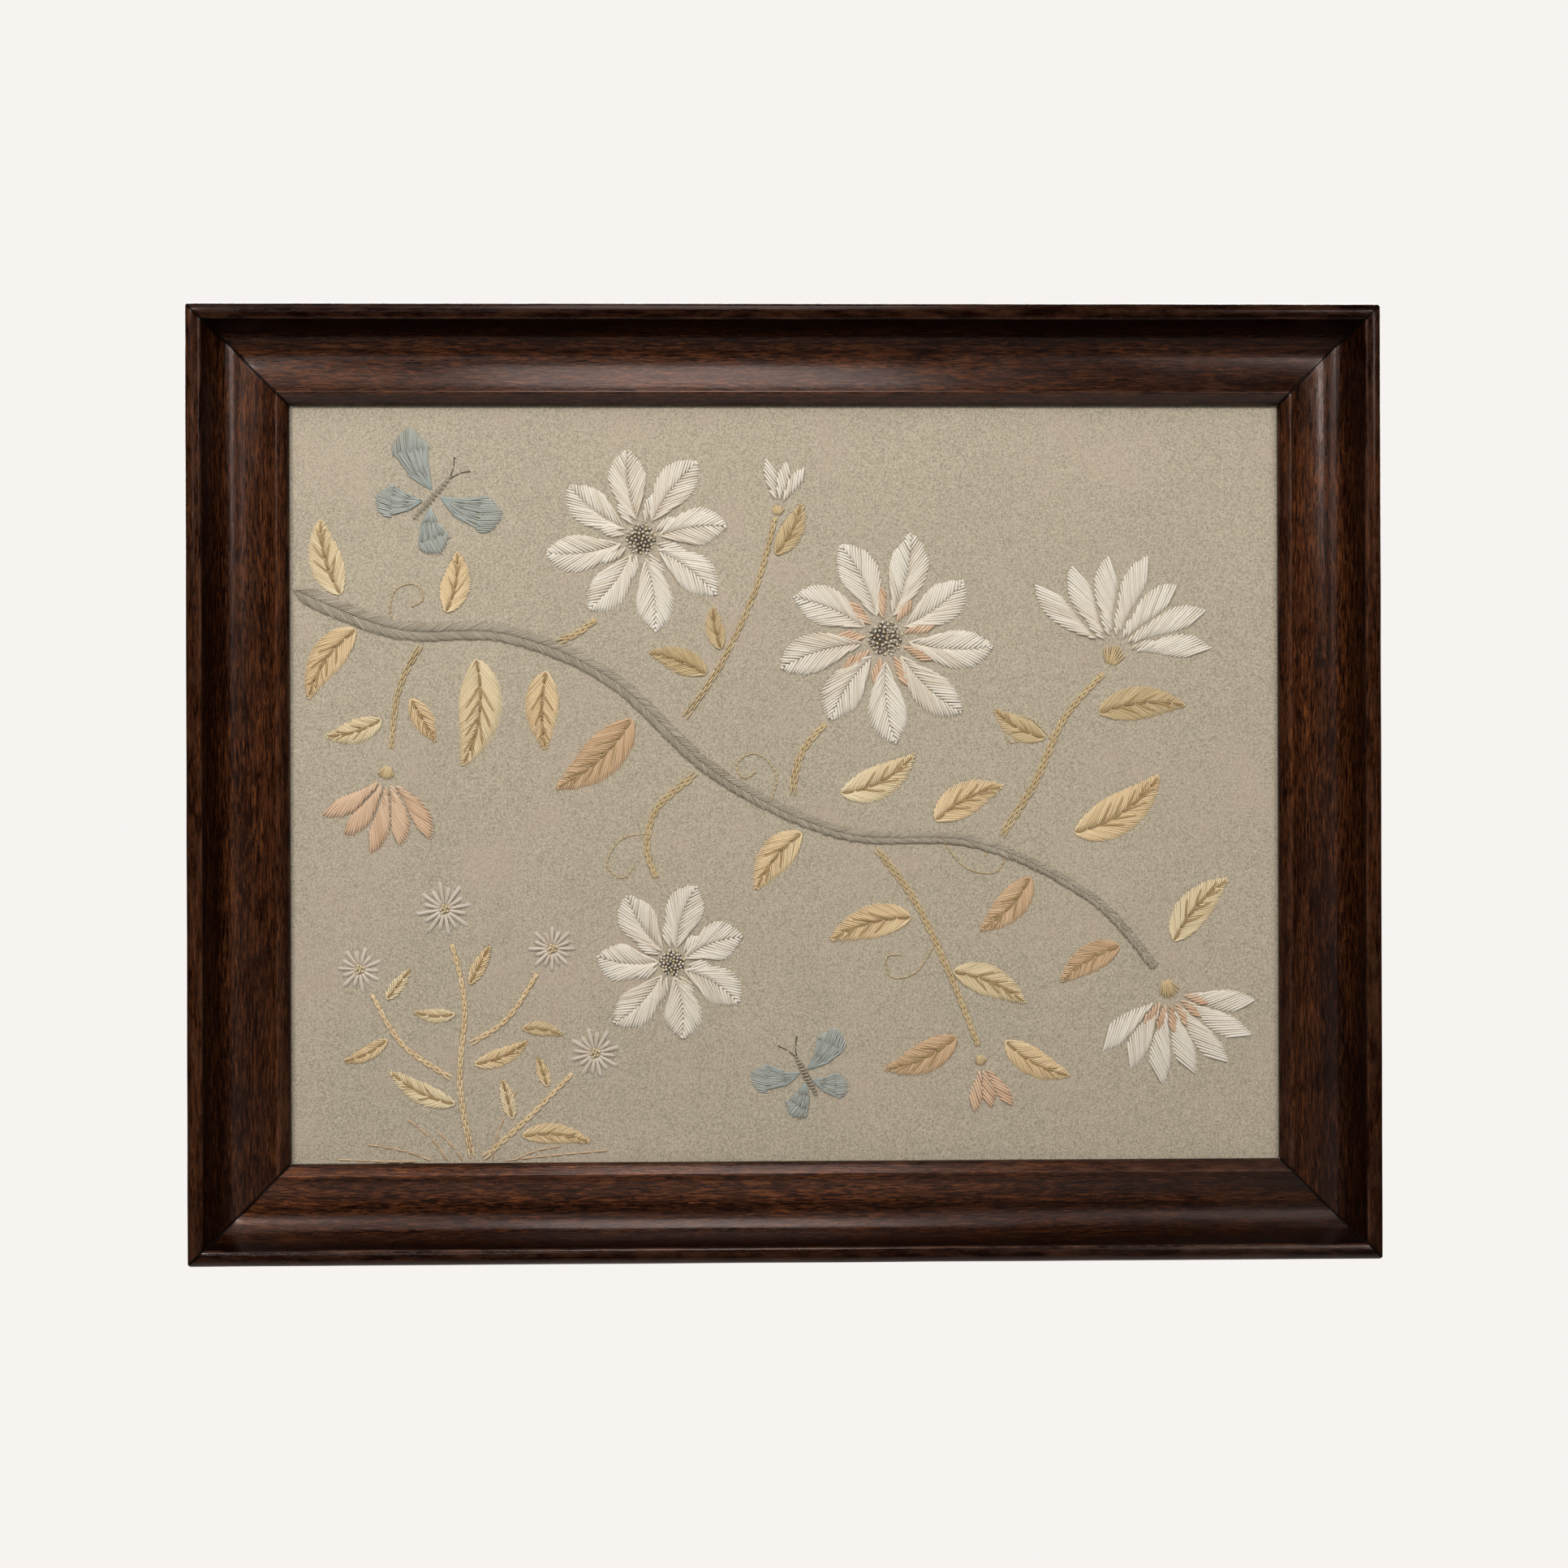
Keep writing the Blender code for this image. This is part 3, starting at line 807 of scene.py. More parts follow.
    def draw_section(self) -> None:
        """Draw the moulding's section, from the back edge over the front to the rebate."""
        quarter = math.pi / 2
        bend_inset = self.cove_low_inset - self.fall_bend_r * math.sin(self.fall_angle)
        bend_depth = self.cove_low_depth + self.fall_bend_r * (1 - math.cos(self.fall_angle))
        arris = bend_depth + math.tan(self.fall_angle) * (bend_inset - self.bead_w)
        top = arris + self.bead_crown
        self.add_point(self.back_chamfer, 0.0, 0.3)
        for height, rubbed in self.side_heights:
            self.add_point(0.0, height, rubbed)
        spring = (self.bead_top_inset, top - self.bead_round)
        self.add_arc(spring, (self.bead_top_inset, self.bead_round), math.pi, quarter, 10, 0.35)
        run = self.bead_w - self.bead_top_inset
        crown_r = (run ** 2 + self.bead_crown ** 2) / (2 * self.bead_crown)
        crown_end = quarter - math.asin(run / crown_r)
        crown = (self.bead_top_inset, top - crown_r)
        self.add_arc(crown, (crown_r, crown_r), quarter, crown_end, 6, 0.4, joined=True)
        self.section.pop()
        self.wear.pop()
        self.add_point(self.bead_w - 0.15 * MM, arris + 0.04 * MM, 1.0)
        self.add_point(self.bead_w + 0.10 * MM, arris - 0.20 * MM, 1.0)
        for share in self.fall_shares:
            self.add_point(self.bead_w + (bend_inset - self.bead_w) * share,
                           arris + (bend_depth - arris) * share, 0.0)
        bend = (self.cove_low_inset, self.cove_low_depth + self.fall_bend_r)
        radii = (self.fall_bend_r, self.fall_bend_r)
        self.add_arc(bend, radii, -quarter - self.fall_angle, -quarter, 16, 0.0)
        rise = (self.cove_low_inset, self.cove_low_depth + self.rise_r)
        radii = (self.rise_r, self.rise_r)
        self.add_arc(rise, radii, -quarter, -quarter + self.rise_angle, 20, 0.15, joined=True)
        end = self.section[-1]
        ridge = (end[0] + self.ridge_r * math.sin(self.rise_angle),
                 end[1] - self.ridge_r * math.cos(self.rise_angle))
        radii = (self.ridge_r, self.ridge_r)
        self.add_arc(ridge, radii, quarter + self.rise_angle, quarter - self.lip_angle, 7, 0.5, joined=True)
        end = self.section[-1]
        lip = end[1] - math.tan(self.lip_angle) * (RAIL_W - end[0])
        self.add_point(RAIL_W - 1.2 * MM, lip + 1.2 * MM, 0.1)
        self.add_point(RAIL_W - 0.3 * MM, lip + 0.3 * MM, 0.6)
        self.add_point(RAIL_W, lip - 0.25 * MM, 0.4)
        self.add_point(RAIL_W, self.rebate_depth, 0.0)
        self.add_point(RAIL_W - self.rebate_w, self.rebate_depth, 0.0)
        self.add_point(RAIL_W - self.rebate_w, self.back_chamfer, 0.1)
        self.add_point(RAIL_W - self.rebate_w - self.back_chamfer, 0.0, 0.3)

    def extrude_section(self, name: str, cuts: int) -> bpy.types.Object:
        """Extrude the section along X from -1 to 1, cut into even stations.

        Args:
            name: The new object's name.
            cuts: Cuts along the length.

        Returns:
            The new object, in edit-ready state, each point's X from -1 to 1.
        """
        deselect_all()
        bpy.ops.mesh.primitive_circle_add(vertices=len(self.section), radius=1.0, fill_type="NGON")
        obj = bpy.context.object
        obj.name = name
        obj.data.name = name
        for vert, (inset, depth) in zip(obj.data.vertices, self.section):
            vert.co = (-1.0, -depth, -inset)
        bpy.ops.object.mode_set(mode="EDIT")
        bpy.ops.mesh.select_mode(type="EDGE")
        bpy.ops.mesh.select_all(action="SELECT")
        bpy.ops.mesh.extrude_region_move(TRANSFORM_OT_translate={"value": (2.0, 0.0, 0.0)})
        bpy.ops.mesh.select_all(action="DESELECT")
        bpy.ops.object.mode_set(mode="OBJECT")
        for edge in obj.data.edges:
            first, second = (obj.data.vertices[i].co.x for i in edge.vertices)
            edge.select = abs(first - second) > 1.0
        bpy.ops.object.mode_set(mode="EDIT")
        if cuts:
            bpy.ops.mesh.subdivide(number_cuts=cuts)
        bpy.ops.mesh.select_all(action="SELECT")
        bpy.ops.mesh.normals_make_consistent(inside=False)
        bpy.ops.object.mode_set(mode="OBJECT")
        return obj

    def rubbed_at(self, inset: float, depth: float) -> float:
        """Find how rubbed the section is at its nearest point.

        Args:
            inset: Distance in from the outer edge.
            depth: Height above the back plane.

        Returns:
            The wear from 0 to 1.
        """
        gaps = [(inset - u) ** 2 + (depth - d) ** 2 for u, d in self.section]
        return self.wear[gaps.index(min(gaps))]

    def make_rail(self, rail: Rail, material: bpy.types.Material,
                  dull: bpy.types.Material) -> bpy.types.Object:
        """Model one length with its mitres, and paint on it its staining and painted shade, how it is rubbed,
        painted light on its rise and painted shade towards one end.

        Args:
            rail: The length to make.
            material: Its material.
            dull: Its duller material for the outer side, the bead and the hollow behind it.

        Returns:
            The finished rail.
        """
        obj = self.extrude_section(f"{rail.node}_moulding", self.stations)
        mesh = obj.data
        dull_faces = [face.index for face in mesh.polygons if self.is_dull(-face.center.z, -face.center.y)]
        known: dict = {}
        painted: dict = {name: [] for name in ("wear", "darkening", "painted_light", "end_shade", "matt")}
        for vert in mesh.vertices:
            share, depth, inset = vert.co.x, -vert.co.y, -vert.co.z
            at_end = abs(share) > 0.9999
            near_end = abs(share) > self.near_joint
            share = math.copysign(1 - (1 - abs(share)) ** self.gather, share)
            key = (round(inset * 1e6), round(depth * 1e6))
            if key not in known:
                known[key] = self.rubbed_at(inset, depth)
            # staining and painted shade at this point of the section
            darkening = self.stain_and_shade_at(inset, depth, rail.bead_stain_and_shade, rail.deep)
            if near_end:
                darkening = self.joint_stain if at_end else max(darkening, self.near_joint_stain)
            painted["wear"].append(0.0 if at_end else known[key])
            painted["darkening"].append(darkening)
            # painted light: the rise past the hollow is painted lighter by the rail's share
            painted["painted_light"].append(rail.painted_light if inset > self.cove_low_inset + self.painted_light_past else 0.0)
            # painted shade, darker towards the rail's lower or right end
            painted["end_shade"].append(max(share * rail.shaded_end, 0.0))
            painted["matt"].append(max(share * rail.matt_end, 0.0) + self.matt_at(inset))
            vert.co = self.placed(rail, share, inset, depth, at_end)
        for name, values in painted.items():
            mesh.attributes.new(name, "FLOAT", "POINT").data.foreach_set("value", values)
        bpy.ops.object.shade_smooth_by_angle(angle=self.smooth_angle)
        finish_piece(obj, material)
        mesh.materials.append(dull)
        for index in dull_faces:
            mesh.polygons[index].material_index = 1
        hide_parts(rail.node)
        return obj

    def placed(self, rail: Rail, share: float, inset: float, depth: float, at_end: bool) -> Vector:
        """Find a point's place on the frame, with the mitre, the soft corner and a slight unevenness.

        Args:
            rail: The length that it is on.
            share: Its place along the length, from -1 to 1.
            inset: Distance in from the outer edge.
            depth: Height above the back plane.
            at_end: Whether it is on the mitre's face.

        Returns:
            Its place.
        """
        if at_end:
            inset, depth = self.eased(inset, depth)
        run = share * (rail.half_run - self.mitre_gap / math.sqrt(2) - inset)
        run, across = self.softened(run, rail.half_across - inset, rail)
        cos_turn, sin_turn = math.cos(rail.turn), math.sin(rail.turn)
        x = run * cos_turn + across * sin_turn
        z = -run * sin_turn + across * cos_turn + CENTRE_Z
        place = Vector((x, -depth, z))
        if depth < self.true_back or inset > RAIL_W - self.true_lip or at_end:
            return place
        sway = noise.noise_vector(place * self.broad_wave) * self.unevenness
        return place + (sway + noise.noise_vector(place * self.fine_wave) * self.unevenness * self.fine_share)

    def matt_at(self, inset: float) -> float:
        """Tell how matt the varnish is: most on the outer side, a little on the slope into the hollow.

        Args:
            inset: Distance in from the outer edge.

        Returns:
            The added mattness.
        """
        if inset < self.matt_side_w:
            return self.side_matt
        return self.hazy * max(1.0 - abs(inset - self.hazy_inset) / self.hazy_w, 0.0)

    def is_dull(self, inset: float, depth: float) -> bool:
        """Tell whether a place of the section is on the outer side, the bead or in the hollow behind it.

        Args:
            inset: Distance in from the outer edge.
            depth: Height above the back plane.

        Returns:
            True where the varnish is dull.
        """
        return inset < self.dull_side_w or (inset < self.dull_w and depth > self.cove_low_depth)

    def towards_core(self, inset: float, depth: float) -> Vector:
        """Give the way from a point of the section to its core, as inset and depth."""
        return Vector((RAIL_W * self.core_share - inset, self.core_depth - depth))

    def eased(self, inset: float, depth: float) -> tuple:
        """Draw a point of the end face a little into the section, so the joint's edge is soft.

        Args:
            inset: Distance in from the outer edge.
            depth: Height above the back plane.

        Returns:
            The new inset and depth.
        """
        pull = self.towards_core(inset, depth)
        if depth > 1.0 * MM and pull.length > 0:
            pull.normalize()
            return inset + pull.x * self.ease, depth + pull.y * self.ease
        return inset, depth

    def softened(self, run: float, across: float, rail: Rail) -> tuple:
        """Round the outer corner of the frame.

        Args:
            run: Place along the rail.
            across: Place across it.
            rail: The rail.

        Returns:
            The new place along and across.
        """
        from_end = rail.half_run - abs(run)
        from_edge = rail.half_across - across
        if from_end < self.corner_r and from_edge < self.corner_r:
            off = Vector((self.corner_r - from_end, self.corner_r - from_edge))
            if off.length > self.corner_r:
                off *= self.corner_r / off.length
                run = math.copysign(rail.half_run - self.corner_r + off.x, run)
                across = rail.half_across - self.corner_r + off.y
        return run, across

    def make_glue(self, material: bpy.types.Material) -> bpy.types.Object:
        """Fill the four mitre joints with a thin dark line of glue, a little below the surface.

        Args:
            material: The glue's material.

        Returns:
            The joined glue lines.
        """
        lines = []
        half_shift = self.mitre_gap * self.glue_share / math.sqrt(2)
        for right in (-1, 1):
            for up in (-1, 1):
                obj = self.extrude_section("mitre_glue", 0)
                for vert in obj.data.vertices:
                    end, depth, inset = vert.co.x, -vert.co.y, -vert.co.z
                    pull = self.towards_core(inset, depth).normalized() * self.glue_sunk
                    inset, depth = inset + pull.x, depth + pull.y
                    x = right * (OUTER_W / 2 - inset + end * half_shift)
                    z = up * (OUTER_H / 2 - inset - end * half_shift) + CENTRE_Z
                    vert.co = (x, -depth, z)
                bpy.ops.object.mode_set(mode="EDIT")
                bpy.ops.mesh.select_all(action="SELECT")
                bpy.ops.mesh.normals_make_consistent(inside=False)
                bpy.ops.object.mode_set(mode="OBJECT")
                lines.append(obj)
        deselect_all()
        for line in lines:
            line.select_set(True)
        bpy.context.view_layer.objects.active = lines[0]
        bpy.ops.object.join()
        return finish_piece(lines[0], material)

    def build(self) -> list:
        """Build the whole frame.

        Returns:
            Its pieces.
        """
        self.draw_section()
        noise.seed_set(self.wave_seed)
        glossy = {grain: VarnishedWood(grain).build() for grain in Grain}
        dull = {grain: VarnishedWood(grain, "edge", self.dull_gloss).build() for grain in Grain}
        half_w, half_h, quarter = OUTER_W / 2, OUTER_H / 2, math.pi / 2
        # painted shade: bead and hollow darkness differ from rail to rail, as the light falls on each; the
        # lower rail's rise is painted lighter, and each rail darker towards its lower or right end
        rails = (
            Rail("rail_top", half_w, half_h, 0.0, Grain.ACROSS, 0.90, shaded_end=0.50, matt_end=0.3),
            Rail("rail_bottom", half_w, half_h, math.pi, Grain.ACROSS, 0.85, painted_light=0.9,
                 shaded_end=-0.75, matt_end=-0.9),
            Rail("rail_left", half_h, half_w, -quarter, Grain.UPRIGHT, 0.35, deep=0.80,
                 shaded_end=-0.35, matt_end=-1.0),
            Rail("rail_right", half_h, half_w, quarter, Grain.UPRIGHT, 0.35, deep=0.72,
                 shaded_end=0.45, matt_end=1.0),
        )
        pieces = []
        for rail in rails:
            # the lower rail's bead is as glossy as the rest of it
            edge = glossy if rail.node == "rail_bottom" else dull
            pieces.append(self.make_rail(rail, glossy[rail.grain], edge[rail.grain]))
        pieces.append(self.make_glue(Shadowy("old_glue", (0.012, 0.006, 0.003)).build()))
        return pieces


@dataclass(frozen=True)
class Blade:
    """A petal, leaf or wing: a bent middle line, with a width that swells and narrows. Sizes are in mm.

    Attributes:
        x: Place of its root across the picture.
        z: Place of its root up the picture.
        aim: Direction from root to tip, in degrees from +X.
        length: From root to tip.
        width: At its widest.
        bend: How far the middle line bows to the left, as a share of the length.
        full: Share of the way at which it is widest.
        shape: Power of its swell, blunt when low.
    """

    x: float
    z: float
    aim: float
    length: float
    width: float
    bend: float
    full: float = 0.42
    shape: float = 0.8

    def ahead(self) -> tuple:
        """Give the direction from root to tip, and the one to its left."""
        along = heading(math.radians(self.aim))
        return along, left_of(along)

    def middle(self, t: float) -> Vector:
        """Find a point on the middle line.

        Args:
            t: Share of the way, from 0 at the root to 1 at the tip.

        Returns:
            The point.
        """
        along, aside = self.ahead()
        bow = self.length * self.bend * 4 * t * (1 - t)
        return Vector((self.x, self.z)) + along * (self.length * t) + aside * bow

    def sideways(self, t: float) -> Vector:
        """Find the direction square to the middle line.

        Args:
            t: Share of the way from root to tip.

        Returns:
            The direction to its left.
        """
        along, aside = self.ahead()
        return left_of((along + aside * (self.bend * 4 * (1 - 2 * t))).normalized())

    def half(self, t: float) -> float:
        """Find half of the width.

        Args:
            t: Share of the way from root to tip.

        Returns:
            Half of the width there, in mm.
        """
        t = min(max(t, 0.0), 1.0)
        power = math.log(0.5) / math.log(self.full)
        return self.width / 2 * max(math.sin(math.pi * t ** power), 0.0) ** self.shape

    def point(self, t: float, side: float) -> Vector:
        """Point at t, and at a share of the half width to the left or, below zero, the right."""
        t = min(max(t, 0.0), 1.0)
        return self.middle(t) + self.sideways(t) * (self.half(t) * side)


@dataclass(frozen=True)
class Ring:
    """Petals round a point of the cloth, or a fan of them, all of one thread. Sizes are in mm.

    Attributes:
        x: Place of the middle across the picture.
        z: Place of the middle up the picture.
        count: Number of petals.
        start: Direction of the first petal, in degrees from +X.
        sweep: Degrees from the first petal to the last.
        root: Distance of the petals' roots from the middle.
        length: Length of a petal.
        width: Width of a petal.
        bend: Bend of a petal.
        thread: Its thread.
        variation: How much the petals differ in length, as a share.
        turn: Step from petal to petal in the wave that sets their lengths.
    """

    x: float
    z: float
    count: int
    start: float
    sweep: float
    root: float
    length: float
    width: float
    bend: float
    thread: Thread
    variation: float = 0.07
    turn: float = 2.4

    def petals(self) -> list:
        """Lay out the petals, each a little different in length.

        Returns:
            The petals as blades.
        """
        petals = []
        for i in range(self.count):
            aim = self.start + self.sweep * i / (self.count - 1)
            length = self.length * (1 + self.variation * math.sin(self.turn * i + self.x))
            way = math.radians(aim)
            root = (self.x + self.root * math.cos(way), self.z + self.root * math.sin(way))
            petals.append(Blade(*root, aim, length, self.width, self.bend, PETAL_FULL))
        return petals


@dataclass(frozen=True)
class Stem:
    """A bough, twig or stalk that thins along its points. Sizes are in mm.

    Attributes:
        start_w: Width at its start.
        end_w: Width at its end.
        points: Places that it passes, across and up the picture.
    """

    FINENESS = 40

    start_w: float
    end_w: float
    points: tuple

    def path(self, step: float) -> list:
        """Draw a smooth line through the points.

        Args:
            step: Spacing of the result in mm.

        Returns:
            Pairs of point and share of the way.
        """
        ends = [self.points[0], *self.points, self.points[-1]]
        fine = []
        for i in range(len(self.points) - 1):
            a, b, c, d = (Vector(p) for p in ends[i:i + 4])
            for j in range(self.FINENESS):
                t = j / self.FINENESS
                fine.append(0.5 * (2 * b + (c - a) * t + (2 * a - 5 * b + 4 * c - d) * t * t
                                   + (3 * b - a - 3 * c + d) * t ** 3))
        fine.append(Vector(self.points[-1]))
        runs = [0.0]
        for first, second in zip(fine, fine[1:]):
            runs.append(runs[-1] + (second - first).length)
        count = max(2, round(runs[-1] / step))
        places = [runs[-1] * i / count for i in range(count + 1)]
        return [(Vector((np.interp(s, runs, [p.x for p in fine]), np.interp(s, runs, [p.y for p in fine]))),
                 s / runs[-1]) for s in places]

    def width(self, share: float) -> float:
        """Give the width at a share of the way."""
        return self.start_w + (self.end_w - self.start_w) * share


@dataclass(frozen=True)
class Floret:
    """A small star of straight rays. Sizes are in mm.

    Attributes:
        x: Place of the middle across the picture.
        z: Place of the middle up the picture.
        rays: Half of the number of its rays.
        radius: Length of the long rays.
        turn: Direction of the first ray, in degrees from +X.
    """

    x: float
    z: float
    rays: int
    radius: float
    turn: float


@dataclass(frozen=True)
class Butterfly:
    """Four wings and a body, seen from above. Sizes are in mm.

    Attributes:
        x: Place of the middle across the picture.
        z: Place of the middle up the picture.
        aim: Direction of the head, in degrees from +X.
        span: Its size, on which all its parts depend.
    """

    x: float
    z: float
    aim: float
    span: float


@dataclass(frozen=True)
class Wing:
    """One wing, with its sizes as shares of the butterfly's.

    Attributes:
        ahead: Place of its root towards the head.
        aside: Place of its root to the left.
        turn: Its turn from the body's direction, in degrees.
        length: From root to rim.
        width: At its widest.
        bend: Bend of its middle line.
    """

    ahead: float
    aside: float
    turn: float
    length: float
    width: float
    bend: float


RINGS = (
    Ring(-58, 98, 8, 8, 315, 6, 31, 15.5, 0.07, Thread.IVORY),
    Ring(-58, 98, 8, 30.5, 315, 5, 13, 4.4, 0.0, Thread.IVORY),
    Ring(40, 58, 9, -4, 320, 7, 35, 16.0, -0.07, Thread.IVORY),
    Ring(40, 58, 9, 16, 320, 6, 15, 4.6, 0.0, Thread.PEACH),
    Ring(-46, -72, 7, 20, 308.6, 5, 27, 15.5, 0.08, Thread.IVORY),
    Ring(-46, -72, 7, 45.7, 308.6, 4.5, 12, 4.6, 0.0, Thread.IVORY),
    Ring(132, 52, 7, 2, 136, 7, 33, 9.6, 0.06, Thread.IVORY),
    Ring(132, 52, 6, 14, 112, 5, 14, 3.6, 0.0, Thread.IVORY),
    Ring(154, -84, 7, 222, 132, 6, 31, 9.0, -0.06, Thread.IVORY),
    Ring(154, -84, 6, 233, 110, 4, 13, 3.4, 0.0, Thread.PEACH),
    Ring(-160, 4, 5, 212, 92, 4, 27, 7.6, 0.08, Thread.PEACH),
    Ring(-160, 4, 4, 223, 70, 3, 11, 3.0, 0.0, Thread.PEACH),
    Ring(78, -112, 3, 262, 44, 2, 19, 5.4, 0.0, Thread.PEACH),
    Ring(-3, 110, 3, 58, 44, 2, 18, 5.2, 0.0, Thread.IVORY),
)
FULL_RINGS = 6

LEAVES = (
    (Thread.PALE_GOLD, Blade(-178, 76, 104, 32, 14, 0.08)),
    (Thread.STRAW, Blade(-172, 62, 236, 34, 14, -0.10)),
    (Thread.STRAW, Blade(-136, 69, 80, 25, 12, -0.08)),
    (Thread.PALE_GOLD, Blade(-124, 50, 262, 44, 18, 0.10)),
    (Thread.STRAW, Blade(-96, 45, 270, 32, 14, -0.06)),
    (Thread.TAN, Blade(-62, 26, 222, 42, 17, 0.08)),
    (Thread.OLD_GOLD, Blade(-26, 54, 100, 18, 8, 0.06)),
    (Thread.STRAW, Blade(6, -20, 232, 30, 14, -0.08)),
    (Thread.PALE_GOLD, Blade(22, -4, 28, 34, 14, -0.10)),
    (Thread.STRAW, Blade(60, -15, 26, 31, 14, 0.08)),
    (Thread.TAN, Blade(98, -38, 226, 30, 13, 0.08)),
    (Thread.STRAW, Blade(116, -20, 34, 42, 17, -0.10)),
    (Thread.TAN, Blade(134, -66, 212, 28, 12, -0.08)),
    (Thread.PALE_GOLD, Blade(156, -64, 48, 34, 14, 0.08)),
    (Thread.OLD_GOLD, Blade(104, 18, 150, 24, 10, 0.08)),
    (Thread.OLD_GOLD, Blade(126, 28, 4, 36, 14, 0.08)),
    (Thread.STRAW, Blade(-150, 34, 300, 20, 9, 0.0)),
    (Thread.PALE_GOLD, Blade(-162, 26, 196, 24, 10, 0.08)),
    (Thread.STRAW, Blade(50, -54, 196, 34, 14, -0.08)),
    (Thread.PALE_GOLD, Blade(67, -76, 336, 32, 13, 0.08)),
    (Thread.TAN, Blade(68, -102, 204, 32, 13, 0.08)),
    (Thread.STRAW, Blade(88, -104, 332, 30, 12, -0.08)),
    (Thread.OLD_GOLD, Blade(-32, 44, 160, 25, 11, -0.06)),
    (Thread.OLD_GOLD, Blade(-4, 92, 64, 24, 9.5, -0.08)),
    (Thread.PALE_GOLD, Blade(-133, -128, 152, 30, 9, 0.08)),
    (Thread.STRAW, Blade(-125, -112, 24, 24, 7.5, -0.08)),
    (Thread.PALE_GOLD, Blade(-133, -92, 176, 17, 6, 0.08)),
    (Thread.STRAW, Blade(-127, -80, 62, 18, 6, 0.0)),
    (Thread.STRAW, Blade(-160, -102, 206, 20, 6.5, 0.08)),
    (Thread.PALE_GOLD, Blade(-160, -86, 52, 16, 5.5, 0.0)),
    (Thread.OLD_GOLD, Blade(-106, -98, 350, 17, 6, 0.08)),
    (Thread.STRAW, Blade(-106, -141, 354, 28, 8.5, 0.08)),
    (Thread.PALE_GOLD, Blade(-110, -134, 104, 17, 6, 0.0)),
    (Thread.STRAW, Blade(-96, -121, 108, 13, 5, 0.0)),
)

BOUGH = Stem(8.0, 3.4, (
    (-197, 78), (-156, 62), (-112, 60), (-70, 42), (-28, 4), (22, -20), (76, -24), (122, -46), (148, -74)))

STEMS = (
    Stem(3.0, 2.2, ((-92, 57), (-84, 60), (-76, 66))),
    Stem(3.2, 2.2, ((2, -5), (6, 12), (16, 24))),
    Stem(3.2, 2.2, ((86, -22), (100, 0), (112, 26), (128, 44))),
    Stem(2.8, 2.0, ((-146, 56), (-155, 38), (-158, 14))),
    Stem(3.0, 2.2, ((-36, 4), (-52, -10), (-56, -26), (-52, -38))),
    Stem(3.0, 2.0, ((36, -26), (52, -48), (66, -78), (77, -106))),
    Stem(2.8, 1.8, ((-41, 26), (-26, 48), (-12, 78), (-4, 107))),
    Stem(2.6, 1.6, ((-126, -150), (-131, -120), (-129, -88), (-134, -64))),
    Stem(2.2, 1.5, ((-127, -104), (-112, -94), (-100, -76))),
    Stem(2.2, 1.5, ((-134, -118), (-154, -104), (-166, -84))),
    Stem(2.4, 1.5, ((-122, -150), (-104, -134), (-86, -116))),
)
BOUGH_TWIGS = 7

FLORETS = (
    Floret(-137, -50, 8, 12, 10),
    Floret(-94, -66, 8, 10, 0),
    Floret(-171, -74, 7, 10, 22),
    Floret(-77, -108, 8, 11, 15),
)

BUTTERFLIES = (Butterfly(-142, 114, 48, 54), Butterfly(8, -118, 118, 42))

WINGS = (
    Wing(0.06, 0.03, 62, 0.50, 0.29, 0.12),
    Wing(0.06, -0.03, -62, 0.50, 0.29, -0.12),
    Wing(-0.04, 0.035, 126, 0.36, 0.25, 0.10),
    Wing(-0.04, -0.035, -126, 0.36, 0.25, -0.10),
)

TENDRILS = (
    ((-150, 60), (-158, 68), (-156, 78), (-148, 80), (-145, 74), (-150, 71)),
    ((-6, -7), (-4, 4), (-12, 12), (-20, 8), (-17, 2), (-12, 5)),
    ((62, -22), (72, -34), (84, -36), (88, -28), (82, -25), (80, -30)),
    ((108, 16), (98, 26), (88, 24), (90, 16), (95, 18)),
    ((-54, -20), (-66, -22), (-72, -32), (-66, -38), (-61, -33)),
    ((60, -64), (52, -76), (42, -78), (40, -70), (46, -69)),
)

GRASSES = (
    ((-118, -150.9), (-116, -140), (-108, -122)),
    ((-136, -150.9), (-142, -142), (-152, -134)),
    ((-142, -150.9), (-152, -147), (-168, -144)),
    ((-113, -150.9), (-96, -149), (-72, -147)),
    ((-148, -150.9), (-158, -151), (-180, -150)),
    ((-130, -150.9), (-133, -146), (-140, -139)),
    ((-110, -150.9), (-101, -147), (-90, -145)),
)


